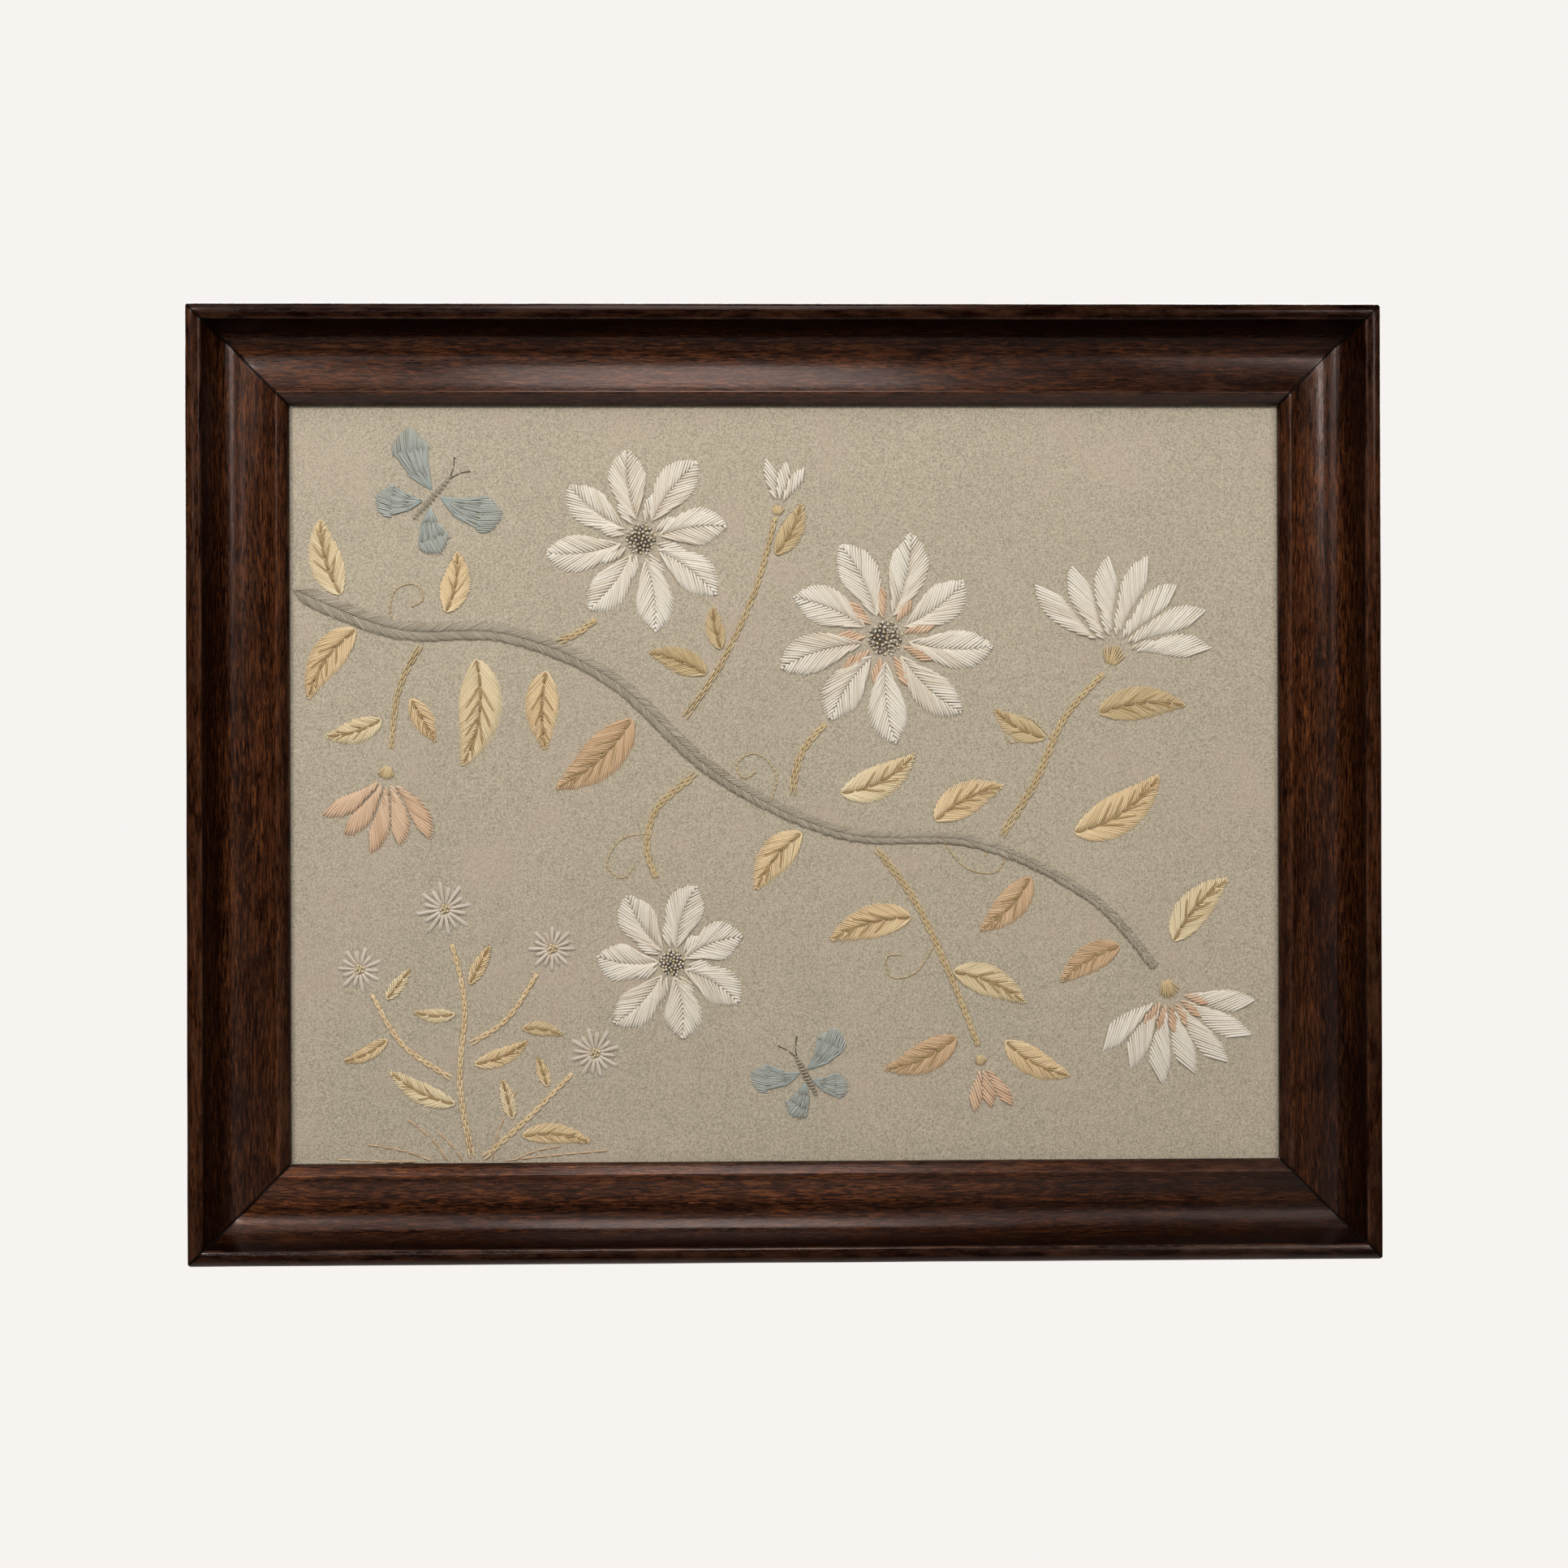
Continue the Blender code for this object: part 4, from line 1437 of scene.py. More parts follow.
class StitchBag:
    """Stitches of one kind and thread, kept as rows of numbers until they are sewn into one mesh.

    RING and STATIONS cut a stitch round and along. SUNK is how deep its ends go, in mm, TIP_WIDTH their
    share of its width, and CREASE the shade round it, dark where it meets its neighbours. GIRTH is the way
    round it as a share of its width, and the shifts make one stitch's strands differ from another's.
    """

    RING = 6
    STATIONS = 7
    SUNK = 0.25
    TIP_WIDTH = 0.50
    # painted shade on the thread's sides, where it meets its neighbours, and a painted highlight on its
    # crown, by place round the thread
    CREASE = (-1.0, -0.9, -0.50, 0.22, -0.50, -0.9)
    FLATNESS = 0.55
    MOST_THICK = 0.42
    GIRTH = 2.6
    SHIFT_ALONG = 90
    SHIFT_ACROSS = 60

    def __init__(self, name: str, thread: Thread) -> None:
        """Start an empty bag.

        Args:
            name: Name of the piece that it becomes.
            thread: Its thread.
        """
        self.name = name
        self.thread = thread
        self.rows: list = []
        self.luck = random.Random(name)

    def lay(self, start: Vector, end: Vector, width: float, lift: float = 0.35, tone: float = 0.0,
            blend: tuple = (0.0, 0.0), bow: float = 0.0) -> None:
        """Lay one stitch on the cloth. Sizes are in mm.

        Args:
            start: Where the needle comes up.
            end: Where it goes down.
            width: Width of the thread.
            lift: Height of the thread's middle above the cloth.
            tone: Lighter above zero, darker below.
            blend: Share of the second colour at the start and at the end.
            bow: Bend to the side.
        """
        self.rows.append((start.x, start.y, end.x, end.y, width, lift, tone, *blend, bow, self.luck.random()))

    def shape(self) -> tuple:
        """Shape every stitch as a flattened thread that rises from the cloth and goes back in.

        Returns:
            Points by stitch, station and ring place, and the same for the thread's map.
        """
        rows = np.array(self.rows)
        x0, z0, x1, z1, width, lift, _, _, _, bow, luck = (rows[:, i, None, None] for i in range(11))
        s = ((1 - np.cos(np.pi * np.arange(self.STATIONS) / (self.STATIONS - 1))) / 2)[None, :, None]
        turn = (-np.pi / 2 + 2 * np.pi * np.arange(self.RING) / self.RING)[None, None, :]
        run = np.hypot(x1 - x0, z1 - z0) + 1e-6
        ax, az = (x1 - x0) / run, (z1 - z0) / run
        arch = np.sqrt(np.clip(1 - np.abs(2 * s - 1) ** 3, 0, 1))
        height = -self.SUNK + (self.SUNK + lift) * arch
        swell = self.TIP_WIDTH + (1 - self.TIP_WIDTH) * (1 - np.abs(2 * s - 1) ** 6)
        aside = np.cos(turn) * width / 2 * swell + bow * np.sin(np.pi * s)
        thick = np.minimum(width * self.FLATNESS, self.MOST_THICK)
        up = height + np.sin(turn) * thick / 2 * swell
        x = x0 + (x1 - x0) * s + az * aside
        z = z0 + (z1 - z0) * s - ax * aside
        points = np.stack(np.broadcast_arrays(x * MM, SILK_FACE_Y - up * MM, z * MM + CENTRE_Z), -1)
        along = s * run + luck * self.SHIFT_ALONG
        across = np.arange(self.RING)[None, None, :] / self.RING * width * self.GIRTH
        thread_map = np.stack(np.broadcast_arrays(along, across + luck * self.SHIFT_ACROSS), -1)
        return points, thread_map

    def sew(self, material: bpy.types.Material) -> bpy.types.Object:
        """Join the stitches into one mesh.

        Args:
            material: The thread's material.

        Returns:
            The finished piece.
        """
        points, thread_map = self.shape()
        count, stations, ring = points.shape[:3]
        k, j = np.meshgrid(np.arange(stations - 1), np.arange(ring), indexing="ij")
        nxt = (j + 1) % ring
        corners = (k * ring + j, (k + 1) * ring + j, (k + 1) * ring + nxt, k * ring + nxt)
        quads = np.stack(corners, -1).reshape(-1, 4)
        firsts = (np.arange(count) * stations * ring)[:, None, None]
        quads = (quads[None] + firsts).reshape(-1, 4)
        start_caps = np.arange(ring)[None] + firsts[:, :, 0]
        end_caps = (stations - 1) * ring + np.arange(ring)[::-1][None] + firsts[:, :, 0]
        obj = add_object(self.name, points, quads.tolist() + start_caps.tolist() + end_caps.tolist())

        mesh = obj.data
        loops = np.zeros(len(mesh.loops), np.int32)
        mesh.loops.foreach_get("vertex_index", loops)
        chart = mesh.uv_layers.new(name="thread")
        chart.data.foreach_set("uv", thread_map.reshape(-1, 2)[loops].astype(np.float32).ravel())
        rows = np.array(self.rows)
        s = np.linspace(0, 1, stations)[None, :, None]
        # painted shade on each thread's sides and a painted highlight on its crown, added to the stitch's own
        # tone
        crease = np.array(self.CREASE)[None, None, :]
        tone = np.clip(np.broadcast_to(rows[:, 6, None, None], (count, stations, ring)) + crease, -1, 1)
        blend = rows[:, 7, None, None] * (1 - s) + rows[:, 8, None, None] * s
        blend = np.broadcast_to(blend, (count, stations, ring))
        for name, values in (("tone", tone), ("blend", blend)):
            painted = mesh.attributes.new(name, "FLOAT", "POINT")
            painted.data.foreach_set("value", values.astype(np.float32).ravel())
        mesh.polygons.foreach_set("use_smooth", np.ones(len(mesh.polygons), bool))
        mesh.update()
        return finish_piece(obj, material)


@dataclass(frozen=True)
class StitchRule:
    """How one kind of shape is filled. Sizes are in mm.

    Attributes:
        fill: The way it is filled.
        pitch: Distance from stitch to stitch.
        width: Width of the thread.
        slant: Slant of the stitches from the middle line, in degrees.
        lift: Height of the thread's middle above the cloth.
        jitter: How far a stitch may end too soon or too late.
        shade: How much the stitches differ in shade.
    """

    fill: Fill
    pitch: float
    width: float
    slant: float
    lift: float
    jitter: float = 0.35
    shade: float = 0.45


@dataclass
class Embroidery:
    """All the needlework of the panel, laid stitch by stitch. Sizes are in mm."""

    petal_rule: StitchRule = StitchRule(Fill.FISHBONE, 1.02, 1.22, 30.0, 0.48)
    narrow_rule: StitchRule = StitchRule(Fill.SLANTED, 1.00, 1.18, 25.0, 0.52)
    leaf_rule: StitchRule = StitchRule(Fill.FISHBONE, 0.74, 0.84, 36.0, 0.30, 0.40, 0.40)
    wing_rule: StitchRule = StitchRule(Fill.LENGTHWISE, 0.74, 0.84, 0.0, 0.34, 0.5, 0.5)
    calyx_rule: StitchRule = StitchRule(Fill.SLANTED, 0.8, 0.85, 0.0, 0.42)
    narrow_petal: float = 10.0
    net_stitches: int = 26
    centre_knots: int = 46
    floret_knots: int = 9
    bough_pitch: float = 1.30
    course_tries: int = 300
    course_halvings: int = 12
    reach_x: float = 197.4
    bags: dict = field(default_factory=dict)
    pricks: list = field(default_factory=list)
    luck: random.Random = field(default_factory=lambda: random.Random(41))

    def bag(self, kind: str, thread: Thread) -> StitchBag:
        """Fetch the bag for a kind of stitching, or start it.

        Args:
            kind: What is stitched.
            thread: Its thread.

        Returns:
            The bag.
        """
        name = f"{kind}_{thread.value}"
        if name not in self.bags:
            self.bags[name] = StitchBag(name, thread)
        return self.bags[name]

    def prick(self, place: Vector, size: float = 0.38) -> None:
        """Note a needle hole in the cloth.

        Args:
            place: Where it is.
            size: Its radius.
        """
        self.pricks.append((place.x, place.y, size * self.luck.uniform(0.75, 1.2)))

    def stitch(self, bag: StitchBag, start: Vector, end: Vector, rule: StitchRule, tone: float,
               blend: tuple = (0.0, 0.0), holes: tuple = (False, True)) -> None:
        """Lay one stitch of a filling, with the small unevenness of a hand.

        Args:
            bag: Where it goes.
            start: Where the needle comes up.
            end: Where it goes down.
            rule: The filling.
            tone: Lighter above zero, darker below.
            blend: Share of the second colour at each end.
            holes: Whether a needle hole shows at each end.
        """
        way = end - start
        if way.length < 0.9:
            return
        way.normalize()
        end = end + way * self.luck.uniform(-rule.jitter, rule.jitter)
        width = rule.width * self.luck.uniform(0.86, 1.10)
        lift = rule.lift * self.luck.uniform(0.85, 1.15)
        tone = tone + self.luck.gauss(0.0, rule.shade)
        bag.lay(start, end, width, lift, max(-1.0, min(1.0, tone)), blend, self.luck.uniform(-0.10, 0.10))
        if holes[0]:
            self.prick(start - way * 0.30)
        if holes[1]:
            self.prick(end + way * 0.30)

    def courses(self, blade: Blade, rule: StitchRule, first: float, last: float) -> list:
        """Space slanted stitches evenly over a shape.

        Args:
            blade: The shape.
            rule: The filling.
            first: Side on which the stitches start: 0 for the middle line, -1 or 1 for an edge.
            last: Side on which they end.

        Returns:
            Places along the middle line of each stitch's start and end.
        """
        pitch = math.tan(math.radians(rule.slant)) * blade.length
        places: list = []
        before = None
        for reach in np.linspace(0.04, 1.0, self.course_tries):
            low, high = 0.0, float(reach)
            if (high - low) * pitch > blade.half(high):
                for _ in range(self.course_halvings):
                    mid = (low + high) / 2
                    wide = blade.half(reach) + blade.half(mid) * abs(first)
                    low, high = (mid, high) if (reach - mid) * pitch > wide else (low, mid)
            start, end = blade.point(low, first), blade.point(reach, last)
            if before:
                way = before[1] - before[0]
                way.normalize()
                gap = max(abs(way.cross(p - before[0])) for p in (start, end))
                if gap < rule.pitch:
                    continue
            before = (start, end)
            places.append((low, float(reach)))
        return places

    def fill_slanted(self, bag: StitchBag, blade: Blade, rule: StitchRule, warmth: tuple) -> None:
        """Fill a shape with slanted stitches, in one row or in two that meet on the middle line.

        Args:
            bag: Where the stitches go.
            blade: The shape.
            rule: The filling.
            warmth: Share of the second colour at the root and at the tip.
        """
        cast = self.luck.gauss(0.0, 0.18)
        rows = ((-1, 1),) if rule.fill is Fill.SLANTED else ((0, 1), (0, -1))
        for first, last in rows:
            for t, reach in self.courses(blade, rule, first, last):
                start, end = blade.point(t, first), blade.point(reach, last)
                if first == 0:
                    start = start - blade.sideways(t) * (0.12 * last)
                mix = tuple(warmth[0] + (warmth[1] - warmth[0]) * u for u in (t, reach))
                self.stitch(bag, start, end, rule, cast + 0.15 * last, mix, (first != 0, True))

    def fill_lengthwise(self, bag: StitchBag, blade: Blade, rule: StitchRule, warmth: tuple) -> None:
        """Fill a wing with long and short stitches in three courses, the last one up to its rim.

        Args:
            bag: Where the stitches go.
            blade: The shape.
            rule: The filling.
            warmth: Share of the second colour at the root and at the rim.
        """
        courses = ((0.03, 0.36, 0.50), (0.30, 0.70, 0.85), (0.62, 1.0, 1.0))
        for course, (low, high, share) in enumerate(courses):
            rows = max(3, round(blade.width * share / rule.pitch))
            for i in range(rows):
                side = -0.96 + 1.92 * (i + 0.5) / rows
                start_t = low + self.luck.uniform(-0.04, 0.04)
                end_t = high + self.luck.uniform(-0.05, 0.05)
                end = blade.point(end_t, side)
                if course == 2:
                    end_t = next(t for t in np.linspace(1.0, 0.6, 80)
                                 if blade.half(t) >= abs(side) * blade.width / 2 or t < 0.61)
                    end = blade.middle(end_t) + blade.sideways(end_t) * (side * blade.width / 2)
                mix = tuple(warmth[0] + (warmth[1] - warmth[0]) * u for u in (low, high))
                self.stitch(bag, blade.point(start_t, side), end, rule, 0.1 - 0.2 * (course % 2), mix,
                            (False, course == 2))

    def fill(self, bag: StitchBag, blade: Blade, rule: StitchRule, warmth: tuple = (0.0, 0.0)) -> None:
        """Fill a shape in the way its rule says.

        Args:
            bag: Where the stitches go.
            blade: The shape.
            rule: The filling.
            warmth: Share of the second colour at the root and at the tip.
        """
        if rule.fill is Fill.LENGTHWISE:
            self.fill_lengthwise(bag, blade, rule, warmth)
        else:
            self.fill_slanted(bag, blade, rule, warmth)

    def sew_flowers(self) -> None:
        """Stitch the petals of every ring and fan."""
        for ring in RINGS:
            for petal in ring.petals():
                rule = self.narrow_rule if petal.width < self.narrow_petal else self.petal_rule
                self.fill(self.bag("petals", ring.thread), petal, rule, (self.luck.uniform(0.3, 0.7), 0.0))

    def knot(self, bag: StitchBag, place: Vector, size: float, tone: float) -> None:
        """Tie a small knot: two short fat stitches that cross.

        Args:
            bag: Where it goes.
            place: Where it is.
            size: Its width.
            tone: Lighter above zero, darker below.
        """
        turn = self.luck.uniform(0, math.pi)
        for quarter in (0.0, math.pi / 2):
            way = heading(turn + quarter) * (size * 0.55)
            bag.lay(place - way, place + way, size * 0.95, 0.55 + 0.15 * (quarter > 0), tone)

    def sew_centres(self) -> None:
        """Work the open flowers' middles: a dark net of fine stitches, with pale knots on it."""
        net = self.bag("net", Thread.SEED)
        knots = self.bag("knots", Thread.IVORY)
        gold = self.bag("knots", Thread.PALE_GOLD)
        for ring in RINGS[0:FULL_RINGS:2]:
            middle = Vector((ring.x, ring.z))
            reach = ring.root + 0.6
            for i in range(self.net_stitches):
                way = heading(math.pi * i / self.net_stitches + self.luck.uniform(-0.1, 0.1))
                off = left_of(way) * self.luck.uniform(-0.6, 0.6) * reach
                half = way * math.sqrt(max(reach ** 2 - off.length_squared, 0.3))
                net.lay(middle + off - half, middle + off + half, 0.36, 0.22, self.luck.uniform(-0.5, 0.5))
            for i in range(self.centre_knots):
                out = reach * 0.92 * math.sqrt((i + 0.5) / self.centre_knots)
                place = middle + heading(i * GOLDEN_ANGLE) * out
                place += Vector((self.luck.uniform(-0.15, 0.15), self.luck.uniform(-0.15, 0.15)))
                bag = gold if i % 3 == 0 else knots
                self.knot(bag, place, self.luck.uniform(0.75, 1.0), self.luck.uniform(-0.4, 0.5))

    def sew_calyx(self) -> None:
        """Work the cup of small green-gold stitches under each fan of petals."""
        bag = self.bag("calyx", Thread.OLD_GOLD)
        for ring in RINGS[FULL_RINGS:]:
            if ring.width < 5.0:
                continue
            middle = Vector((ring.x, ring.z))
            out = heading(math.radians(ring.start + ring.sweep / 2))
            side = left_of(out)
            size = 0.9 + ring.root * 0.35
            for i in range(-4, 5):
                start = middle - out * (size * 1.5) + side * (i * size * 0.10)
                end = middle + out * (size * (1.1 - 0.05 * i * i)) + side * (i * size * 0.36)
                self.stitch(bag, start, end, self.calyx_rule, 0.0)

    def sew_leaves(self) -> None:
        """Stitch the leaves, then couch their veins on top."""
        for thread, leaf in LEAVES:
            self.fill(self.bag("leaves", thread), leaf, self.leaf_rule, (0.1, self.luck.uniform(0.4, 0.9)))
            self.couch_veins(leaf)

    def couch_veins(self, leaf: Blade) -> None:
        """Couch a double middle vein and its side veins on a leaf.

        Args:
            leaf: The leaf.
        """
        bag = self.bag("veins", Thread.VEIN)
        pieces = max(3, round(leaf.length / 5.5))
        for i in range(pieces):
            low, high = 0.96 * i / pieces, 0.96 * (i + 1) / pieces
            for side in (-1, 1):
                gap = leaf.sideways(low) * (0.26 * side)
                tone = self.luck.uniform(-0.5, 0.6)
                bag.lay(leaf.point(low, 0) + gap, leaf.point(high, 0) + gap, 0.46, 0.62, tone)
        count = max(1, round(leaf.length / 12)) if leaf.width > 7 else 0
        for i in range(count):
            root = 0.16 + 0.56 * (i + 0.5) / count
            for side in (-1, 1):
                start = leaf.point(root + 0.03 * side, 0.0)
                tip = leaf.point(min(root + 0.62 * leaf.width / leaf.length, 0.93), 0.74 * side)
                bow = self.luck.uniform(-0.3, 0.3)
                bag.lay(start, tip, 0.46, 0.60, self.luck.uniform(-0.5, 0.6), (0.0, 0.5), bow)
                if leaf.width > 12:
                    nudge = left_of((tip - start).normalized()) * 0.45
                    tone = self.luck.uniform(-0.5, 0.6)
                    bag.lay(start + nudge, tip + nudge * 0.7, 0.44, 0.60, tone, (0.0, 0.5), bow)

    def sew_bough(self) -> None:
        """Stitch the bough with two rows of slanted stitches, dark between them."""
        bag = self.bag("bough", Thread.BARK)
        pitch = self.bough_pitch
        path = BOUGH.path(pitch)
        rule = StitchRule(Fill.SLANTED, pitch, 0.90, 0.0, 0.52, 0.60, 0.55)
        last = len(path) - 1
        for i, (point, share) in enumerate(path):
            half = BOUGH.width(share) / 2
            far = min(i + round(half * 1.5 / pitch) + 1, last)
            ahead = (path[min(i + 1, last)][0] - path[max(i - 1, 0)][0]).normalized()
            far_ahead = (path[far][0] - path[max(far - 1, 0)][0]).normalized()
            for side in (-1, 1):
                start = point - left_of(ahead) * (0.25 * side)
                end = path[far][0] + left_of(far_ahead) * (half * side)
                if max(abs(start.x), abs(end.x)) < self.reach_x:
                    self.stitch(bag, start, end, rule, 0.15 * side - 0.1, (0.0, self.luck.random()))

    def sew_stems(self) -> None:
        """Work twigs and stalks in rows of stem stitch."""
        for number, stem in enumerate(STEMS):
            thread = Thread.OLD_GOLD if number < BOUGH_TWIGS else Thread.STRAW
            bag = self.bag("stems", thread)
            rows = max(2, round(stem.start_w / 0.85))
            path = stem.path(2.3)
            for row in range(rows):
                offset = (row + 0.5) / rows - 0.5
                for i in range(row % 2, len(path) - 1, 2):
                    far = min(i + 2, len(path) - 1)
                    start, end = (self.beside(path, k, offset * stem.width(path[k][1])) for k in (i, far))
                    tone = self.luck.gauss(0.0, 0.4)
                    bag.lay(start, end, 0.78, 0.40 - 0.2 * abs(offset), tone, (0.0, self.luck.random()))
                    if abs(offset) > 0.3:
                        self.prick(end, 0.22)

    def beside(self, path: list, place: int, off: float) -> Vector:
        """Find a point beside a path.

        Args:
            path: Pairs of point and share of the way.
            place: Number of the pair.
            off: Distance to the left.

        Returns:
            The point.
        """
        last = len(path) - 1
        ahead = (path[min(place + 1, last)][0] - path[max(place - 1, 0)][0]).normalized()
        return path[place][0] + left_of(ahead) * off

    def sew_lines(self) -> None:
        """Couch the curling tendrils and the long single threads of the grasses."""
        bag = self.bag("tendrils", Thread.OLD_GOLD)
        for curl in TENDRILS:
            path = Stem(0.8, 0.6, curl).path(2.0)
            for (first, _), (second, _) in zip(path, path[1:]):
                bag.lay(first, second, 0.62, 0.30, self.luck.gauss(0.0, 0.4), (0.0, self.luck.random()))
        bag = self.bag("grasses", Thread.TAN)
        for blade in GRASSES:
            path = Stem(0.8, 0.6, blade).path(6.0)
            for (first, _), (second, _) in zip(path, path[1:]):
                bag.lay(first, second, 0.66, 0.26, self.luck.gauss(0.0, 0.4), (0.0, self.luck.random()))
                self.prick(second, 0.2)

    def sew_florets(self) -> None:
        """Work the small stars: straight rays of three stitches round a knotted middle."""
        bag = self.bag("florets", Thread.BLUSH)
        knots = self.bag("knots", Thread.PALE_GOLD)
        for floret in FLORETS:
            middle = Vector((floret.x, floret.z))
            for i in range(floret.rays * 2):
                turn = math.radians(floret.turn) + math.pi * i / floret.rays
                reach = floret.radius * (1.0 if i % 2 == 0 else 0.80) * self.luck.uniform(0.94, 1.03)
                way = heading(turn)
                side = left_of(way)
                for strand in (-1, 0, 1):
                    start = middle + way * 1.9 + side * (strand * 0.28)
                    end = middle + way * (reach - 0.5 * abs(strand)) + side * (strand * 0.52)
                    tone = self.luck.gauss(0.1, 0.4)
                    bag.lay(start, end, 0.66, 0.34 + 0.12 * (strand == 0), tone, (self.luck.random(), 0.0))
                    self.prick(end, 0.2)
            for i in range(self.floret_knots):
                place = middle + heading(i * GOLDEN_ANGLE) * (1.9 * math.sqrt((i + 0.3) / self.floret_knots))
                self.knot(knots, place, 0.95, self.luck.uniform(-0.5, 0.3))

    def sew_butterflies(self) -> None:
        """Stitch wings, bodies and feelers of the butterflies."""
        for butterfly in BUTTERFLIES:
            along = heading(math.radians(butterfly.aim))
            aside = left_of(along)
            middle = Vector((butterfly.x, butterfly.z))
            span = butterfly.span
            for row in WINGS:
                root = middle + (along * row.ahead + aside * row.aside) * span
                aim = butterfly.aim + row.turn
                wing = Blade(root.x, root.y, aim, row.length * span, row.width * span, row.bend, WING_FULL)
                self.fill(self.bag("wings", Thread.BLUE), wing, self.wing_rule, (0.0, 0.9))
                veins = self.bag("wing_veins", Thread.BARK)
                for share in (-0.45, 0.0, 0.45):
                    veins.lay(wing.point(0.10, share), wing.point(0.62, share), 0.30, 0.60, 0.3)
            body = self.bag("bodies", Thread.BARK)
            for i in range(13):
                place = middle + along * (span * (-0.19 + 0.40 * i / 12))
                half = aside * (1.45 * math.sin(math.pi * (i + 0.7) / 13.4) ** 0.6)
                body.lay(place - half, place + half + along * 0.7, 0.95, 0.80, self.luck.gauss(-0.2, 0.3))
            feelers = self.bag("wing_lines", Thread.SEED)
            head = middle + along * (span * 0.21)
            for side in (-1, 1):
                mid = head + along * 4.2 + aside * (1.6 * side)
                tip = head + along * 7.4 + aside * (4.0 * side)
                feelers.lay(head, mid, 0.36, 0.3, 0.0)
                feelers.lay(mid, tip, 0.34, 0.3, 0.0)
                self.knot(feelers, tip, 0.6, 0.0)

    def make_pricks(self, material: bpy.types.Material) -> bpy.types.Object:
        """Make the needle holes: small dark five-sided cones, almost flat on the cloth, whose dark colour is
        painted shade in each hole.

        Args:
            material: Their material.

        Returns:
            The finished piece.
        """
        sides, rim_up, tip_up = 5, -0.20, 0.07
        spots = np.array(self.pricks)
        turn = 2 * np.pi * np.arange(sides) / sides
        rim_x = spots[:, 0, None] + spots[:, 2, None] * np.cos(turn)
        rim_z = spots[:, 1, None] + spots[:, 2, None] * np.sin(turn)
        x = np.concatenate((rim_x, spots[:, 0, None]), 1) * MM
        z = np.concatenate((rim_z, spots[:, 1, None]), 1) * MM + CENTRE_Z
        up = np.array([rim_up] * sides + [tip_up]) * MM
        points = np.stack((x, np.broadcast_to(SILK_FACE_Y - up, x.shape), z), -1)
        firsts = range(0, (sides + 1) * len(spots), sides + 1)
        faces = [[first + (j + 1) % sides, first + j, first + sides]
                 for first in firsts for j in range(sides)]
        faces += [[first + j for j in range(sides)] for first in firsts]
        obj = add_object("needle_holes", points, faces)
        obj.data.update()
        return finish_piece(obj, material)

    def build(self) -> list:
        """Stitch everything and sew each bag into a piece.

        Returns:
            The pieces.
        """
        self.sew_bough()
        self.sew_stems()
        self.sew_leaves()
        self.sew_flowers()
        self.sew_centres()
        self.sew_calyx()
        self.sew_florets()
        self.sew_butterflies()
        self.sew_lines()
        silks = {finish.thread: finish.build() for finish in SILKS}
        pieces = [bag.sew(silks[bag.thread]) for bag in self.bags.values()]
        # painted shade: dark cones in the needle holes
        pieces.append(self.make_pricks(Shadowy("needle_hole_shade", (0.040, 0.028, 0.018)).build()))
        return pieces


@dataclass
class SilkPanel:
    """The silk ground, stretched over the board, and the board behind it."""

    overlap: float = 5.0 * MM
    cells_x: int = 136
    cells_z: int = 105
    thickness: float = 0.5 * MM
    ripple: float = 0.11 * MM
    broad_wave: float = 24.0
    fine_wave: float = 75.0
    flat_rim: float = 4 * MM
    ease_w: float = 14 * MM

    def flat_size(self) -> tuple:
        """Give the cloth's flat width and height."""
        return SIGHT_W + 2 * self.overlap, SIGHT_H + 2 * self.overlap

    def make_cloth(self) -> bpy.types.Object:
        """Model the stretched cloth with slight ripples.

        Returns:
            The finished cloth.
        """
        width, height = self.flat_size()
        deselect_all()
        bpy.ops.mesh.primitive_grid_add(
            x_subdivisions=self.cells_x, y_subdivisions=self.cells_z, size=1.0,
            location=(0.0, SILK_FACE_Y, CENTRE_Z), rotation=(math.pi / 2, 0.0, 0.0))
        cloth = bpy.context.object
        cloth.name = "silk_cloth"
        cloth.data.name = "silk_cloth"
        cloth.scale = (width, height, 1.0)
        bpy.ops.object.transform_apply(location=True, rotation=True, scale=True)
        for vert in cloth.data.vertices:
            inward = min(width / 2 - abs(vert.co.x), height / 2 - abs(vert.co.z - CENTRE_Z))
            ease = min(max((inward - self.flat_rim) / self.ease_w, 0.0), 1.0)
            swell = noise.noise(vert.co * self.broad_wave) + 0.5 * noise.noise(vert.co * self.fine_wave)
            vert.co.y += swell * self.ripple * ease
        bpy.ops.object.shade_smooth()
        thicken = cloth.modifiers.new("thickness", "SOLIDIFY")
        thicken.thickness = self.thickness
        thicken.offset = -1.0
        bpy.ops.object.modifier_apply(modifier=thicken.name)
        finish_piece(cloth, SilkGround().build())
        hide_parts("silk_panel")
        return cloth

    def build(self, needlework: list) -> list:
        """Args:
            needlework: The pieces stitched on the cloth; not used.

        Returns:
            The cloth and the board.
        """
        cloth = self.make_cloth()
        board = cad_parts["mount_board"]
        board.data.materials.clear()
        board.data.materials.append(BareBoard().build())
        return [cloth, board]


@dataclass(frozen=True)
class Lamp:
    """One soft box. Places are in metres from the picture's middle.

    Attributes:
        name: Its name.
        place: Where it hangs.
        size: Width and height.
        power: Watts.
        colour: Its colour.
        aim: The point it faces.
    """

    name: str
    place: tuple
    size: tuple
    power: float
    colour: tuple = (1.0, 0.985, 0.965)
    aim: tuple = (0.0, 0.0, 0.0)


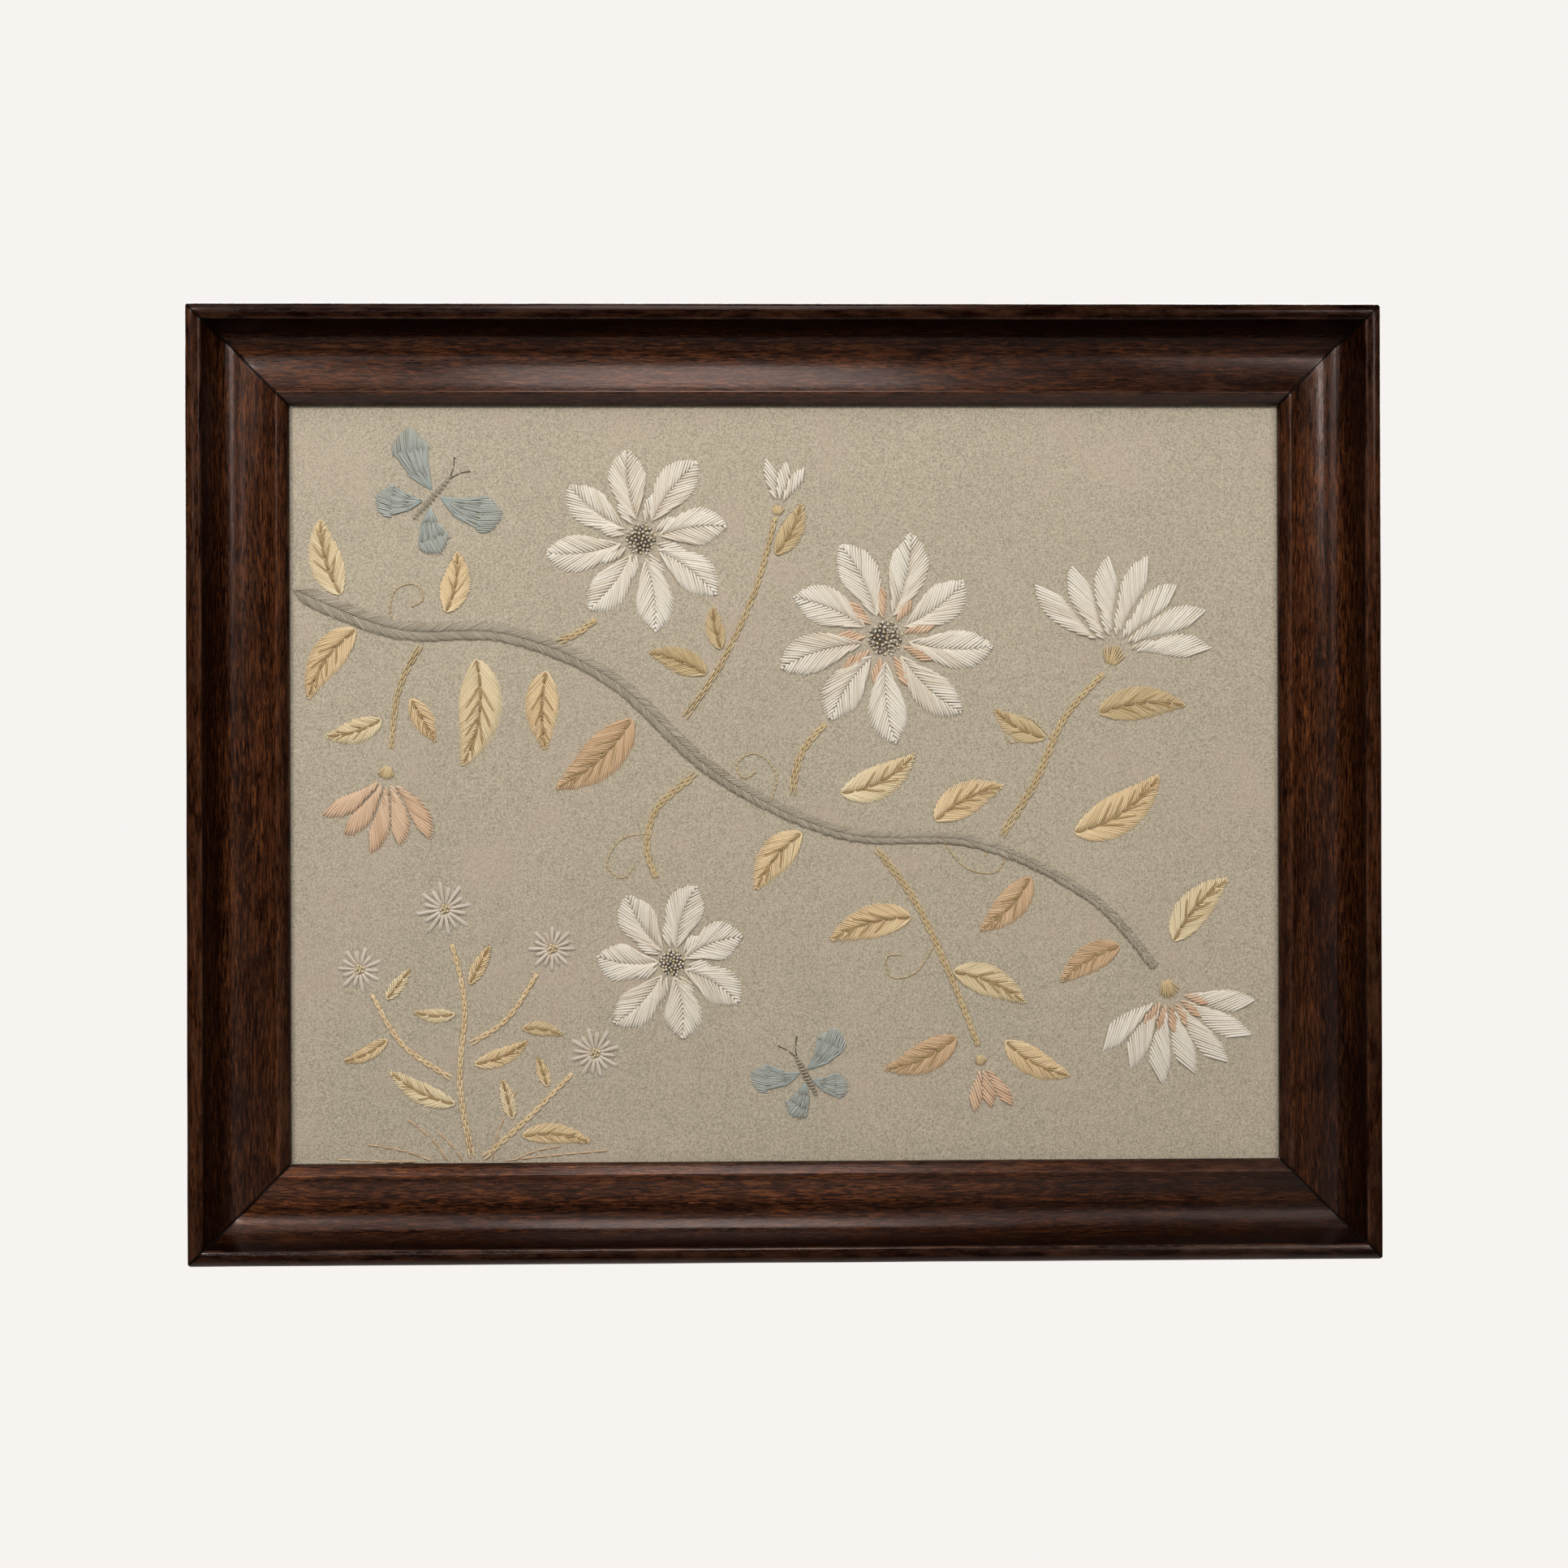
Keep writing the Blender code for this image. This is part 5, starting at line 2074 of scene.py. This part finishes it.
LAMPS = (
    Lamp("key", (-0.06, -0.72, 0.97), (0.38, 1.00), 5.5),
    Lamp("left_top", (-0.52, -0.70, 0.95), (0.54, 0.95), 1.5),
    Lamp("left_side", (-1.07, -1.37, 0.85), (0.8, 0.3), 15.2, (1.0, 0.985, 0.96)),
    Lamp("right_side", (1.22, -1.32, 0.85), (0.8, 0.3), 11.4, (1.0, 0.985, 0.96)),
    Lamp("far_left", (-0.53, -2.0, 0.42), (0.55, 0.20), 0.8, (1.0, 0.98, 0.955)),
    Lamp("front_bar", (0.92, -2.0, 0.60), (0.37, 0.26), 3.4, (1.0, 0.98, 0.955)),
    Lamp("back_left", (-0.85, 1.6, 0.7), (0.9, 0.9), 13.0),
    Lamp("back_right", (0.85, 1.6, 0.7), (0.9, 0.9), 13.0),
    Lamp("floor_wash", (0.0, 1.9, 1.2), (2.0, 1.0), 45.0, aim=(0.0, 1.0, -FLOOR_DROP)),
)


@dataclass
class Studio:
    """Pale floor, soft boxes round the picture and the camera square to it."""

    distance: float = 0.80
    front_depth: float = 25.2 * MM
    image_px: float = 1932.0
    object_px: float = 1472.0
    sensor: float = 36.0
    azimuth: float = math.radians(-0.95)
    roll: float = math.radians(-0.17)
    aim_x: float = -0.0011
    aim_z: float = -0.0003
    shown_colour: tuple = (0.930, 0.896, 0.871, 1.0)
    felt_colour: tuple = (0.93, 0.95, 1.0, 1.0)
    felt_strength: float = 0.03

    def set_camera(self) -> bpy.types.Object:
        """Stand the camera where the photograph was taken from.

        Returns:
            The camera.
        """
        seen = OUTER_W * self.image_px / self.object_px
        data = bpy.data.cameras.new("camera")
        data.sensor_width = self.sensor
        data.lens = self.sensor * (self.distance - self.front_depth) / seen
        camera = bpy.data.objects.new("camera", data)
        bpy.context.scene.collection.objects.link(camera)
        aim = Vector((self.aim_x, -self.front_depth, CENTRE_Z + self.aim_z))
        reach = self.distance - self.front_depth
        back = Vector((math.sin(self.azimuth), -math.cos(self.azimuth), 0.0))
        camera.location = aim + back * reach
        level = (-back).to_track_quat("-Z", "Y").to_matrix()
        camera.rotation_euler = (level @ Matrix.Rotation(self.roll, 3, "Z")).to_euler()
        bpy.context.scene.camera = camera
        return camera

    def hang(self, lamp: Lamp) -> None:
        """Hang one soft box, hidden from the camera.

        Args:
            lamp: The soft box.
        """
        data = bpy.data.lights.new(lamp.name, "AREA")
        data.shape = "RECTANGLE"
        data.size, data.size_y = lamp.size
        data.energy = lamp.power
        data.color = lamp.colour
        box = bpy.data.objects.new(lamp.name, data)
        bpy.context.scene.collection.objects.link(box)
        box.visible_camera = False
        place, aim = (Vector((x, y, CENTRE_Z + z)) for x, y, z in (lamp.place, lamp.aim))
        box.location = place
        box.rotation_euler = (aim - place).to_track_quat("-Z", "Y").to_euler()

    def set_lights(self) -> None:
        """Hang the key above and in front, bars that shine in the varnish, and three for back and floor."""
        for lamp in LAMPS:
            self.hang(lamp)

    def set_world(self) -> None:
        """Give the background its pale colour, and let it light the object only weakly."""
        world = bpy.data.worlds.new("studio")
        bpy.context.scene.world = world
        world.use_nodes = True
        tree = world.node_tree
        tree.nodes.clear()
        out = tree.nodes.new("ShaderNodeOutputWorld")
        mix = tree.nodes.new("ShaderNodeMixShader")
        path = tree.nodes.new("ShaderNodeLightPath")
        shown = tree.nodes.new("ShaderNodeBackground")
        felt = tree.nodes.new("ShaderNodeBackground")
        shown.inputs["Color"].default_value = self.shown_colour
        felt.inputs["Color"].default_value = self.felt_colour
        felt.inputs["Strength"].default_value = self.felt_strength
        tree.links.new(path.outputs["Is Camera Ray"], mix.inputs["Fac"])
        tree.links.new(felt.outputs["Background"], mix.inputs[1])
        tree.links.new(shown.outputs["Background"], mix.inputs[2])
        tree.links.new(mix.outputs["Shader"], out.inputs["Surface"])

    def lay_floor(self) -> None:
        """Lay the pale floor below the view."""
        deselect_all()
        bpy.ops.mesh.primitive_plane_add(size=1.0, location=(0.0, 0.0, CENTRE_Z - FLOOR_DROP))
        floor = bpy.context.object
        floor.name = "floor"
        floor.scale = (7.0, 5.2, 1.0)
        bpy.ops.object.transform_apply(location=True, rotation=True, scale=True)
        floor.data.materials.append(PaleFloor().build())

    def build(self) -> None:
        """Set up the whole studio."""
        self.set_camera()
        self.set_lights()
        self.set_world()
        self.lay_floor()
        bpy.context.scene.view_settings.view_transform = "Standard"


def write_sizes() -> None:
    """Update the view layer."""
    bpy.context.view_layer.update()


def main() -> None:
    """Build the part and the studio, and report each piece."""
    logging.basicConfig(level=logging.INFO, format="%(message)s")
    needlework = Embroidery().build()
    pieces = Frame().build() + SilkPanel().build(needlework) + needlework
    for piece in pieces:
        log.info("%s: %d faces", piece.name, len(piece.data.polygons))
    Studio().build()
    write_sizes()


if __name__ == "__main__":
    main()
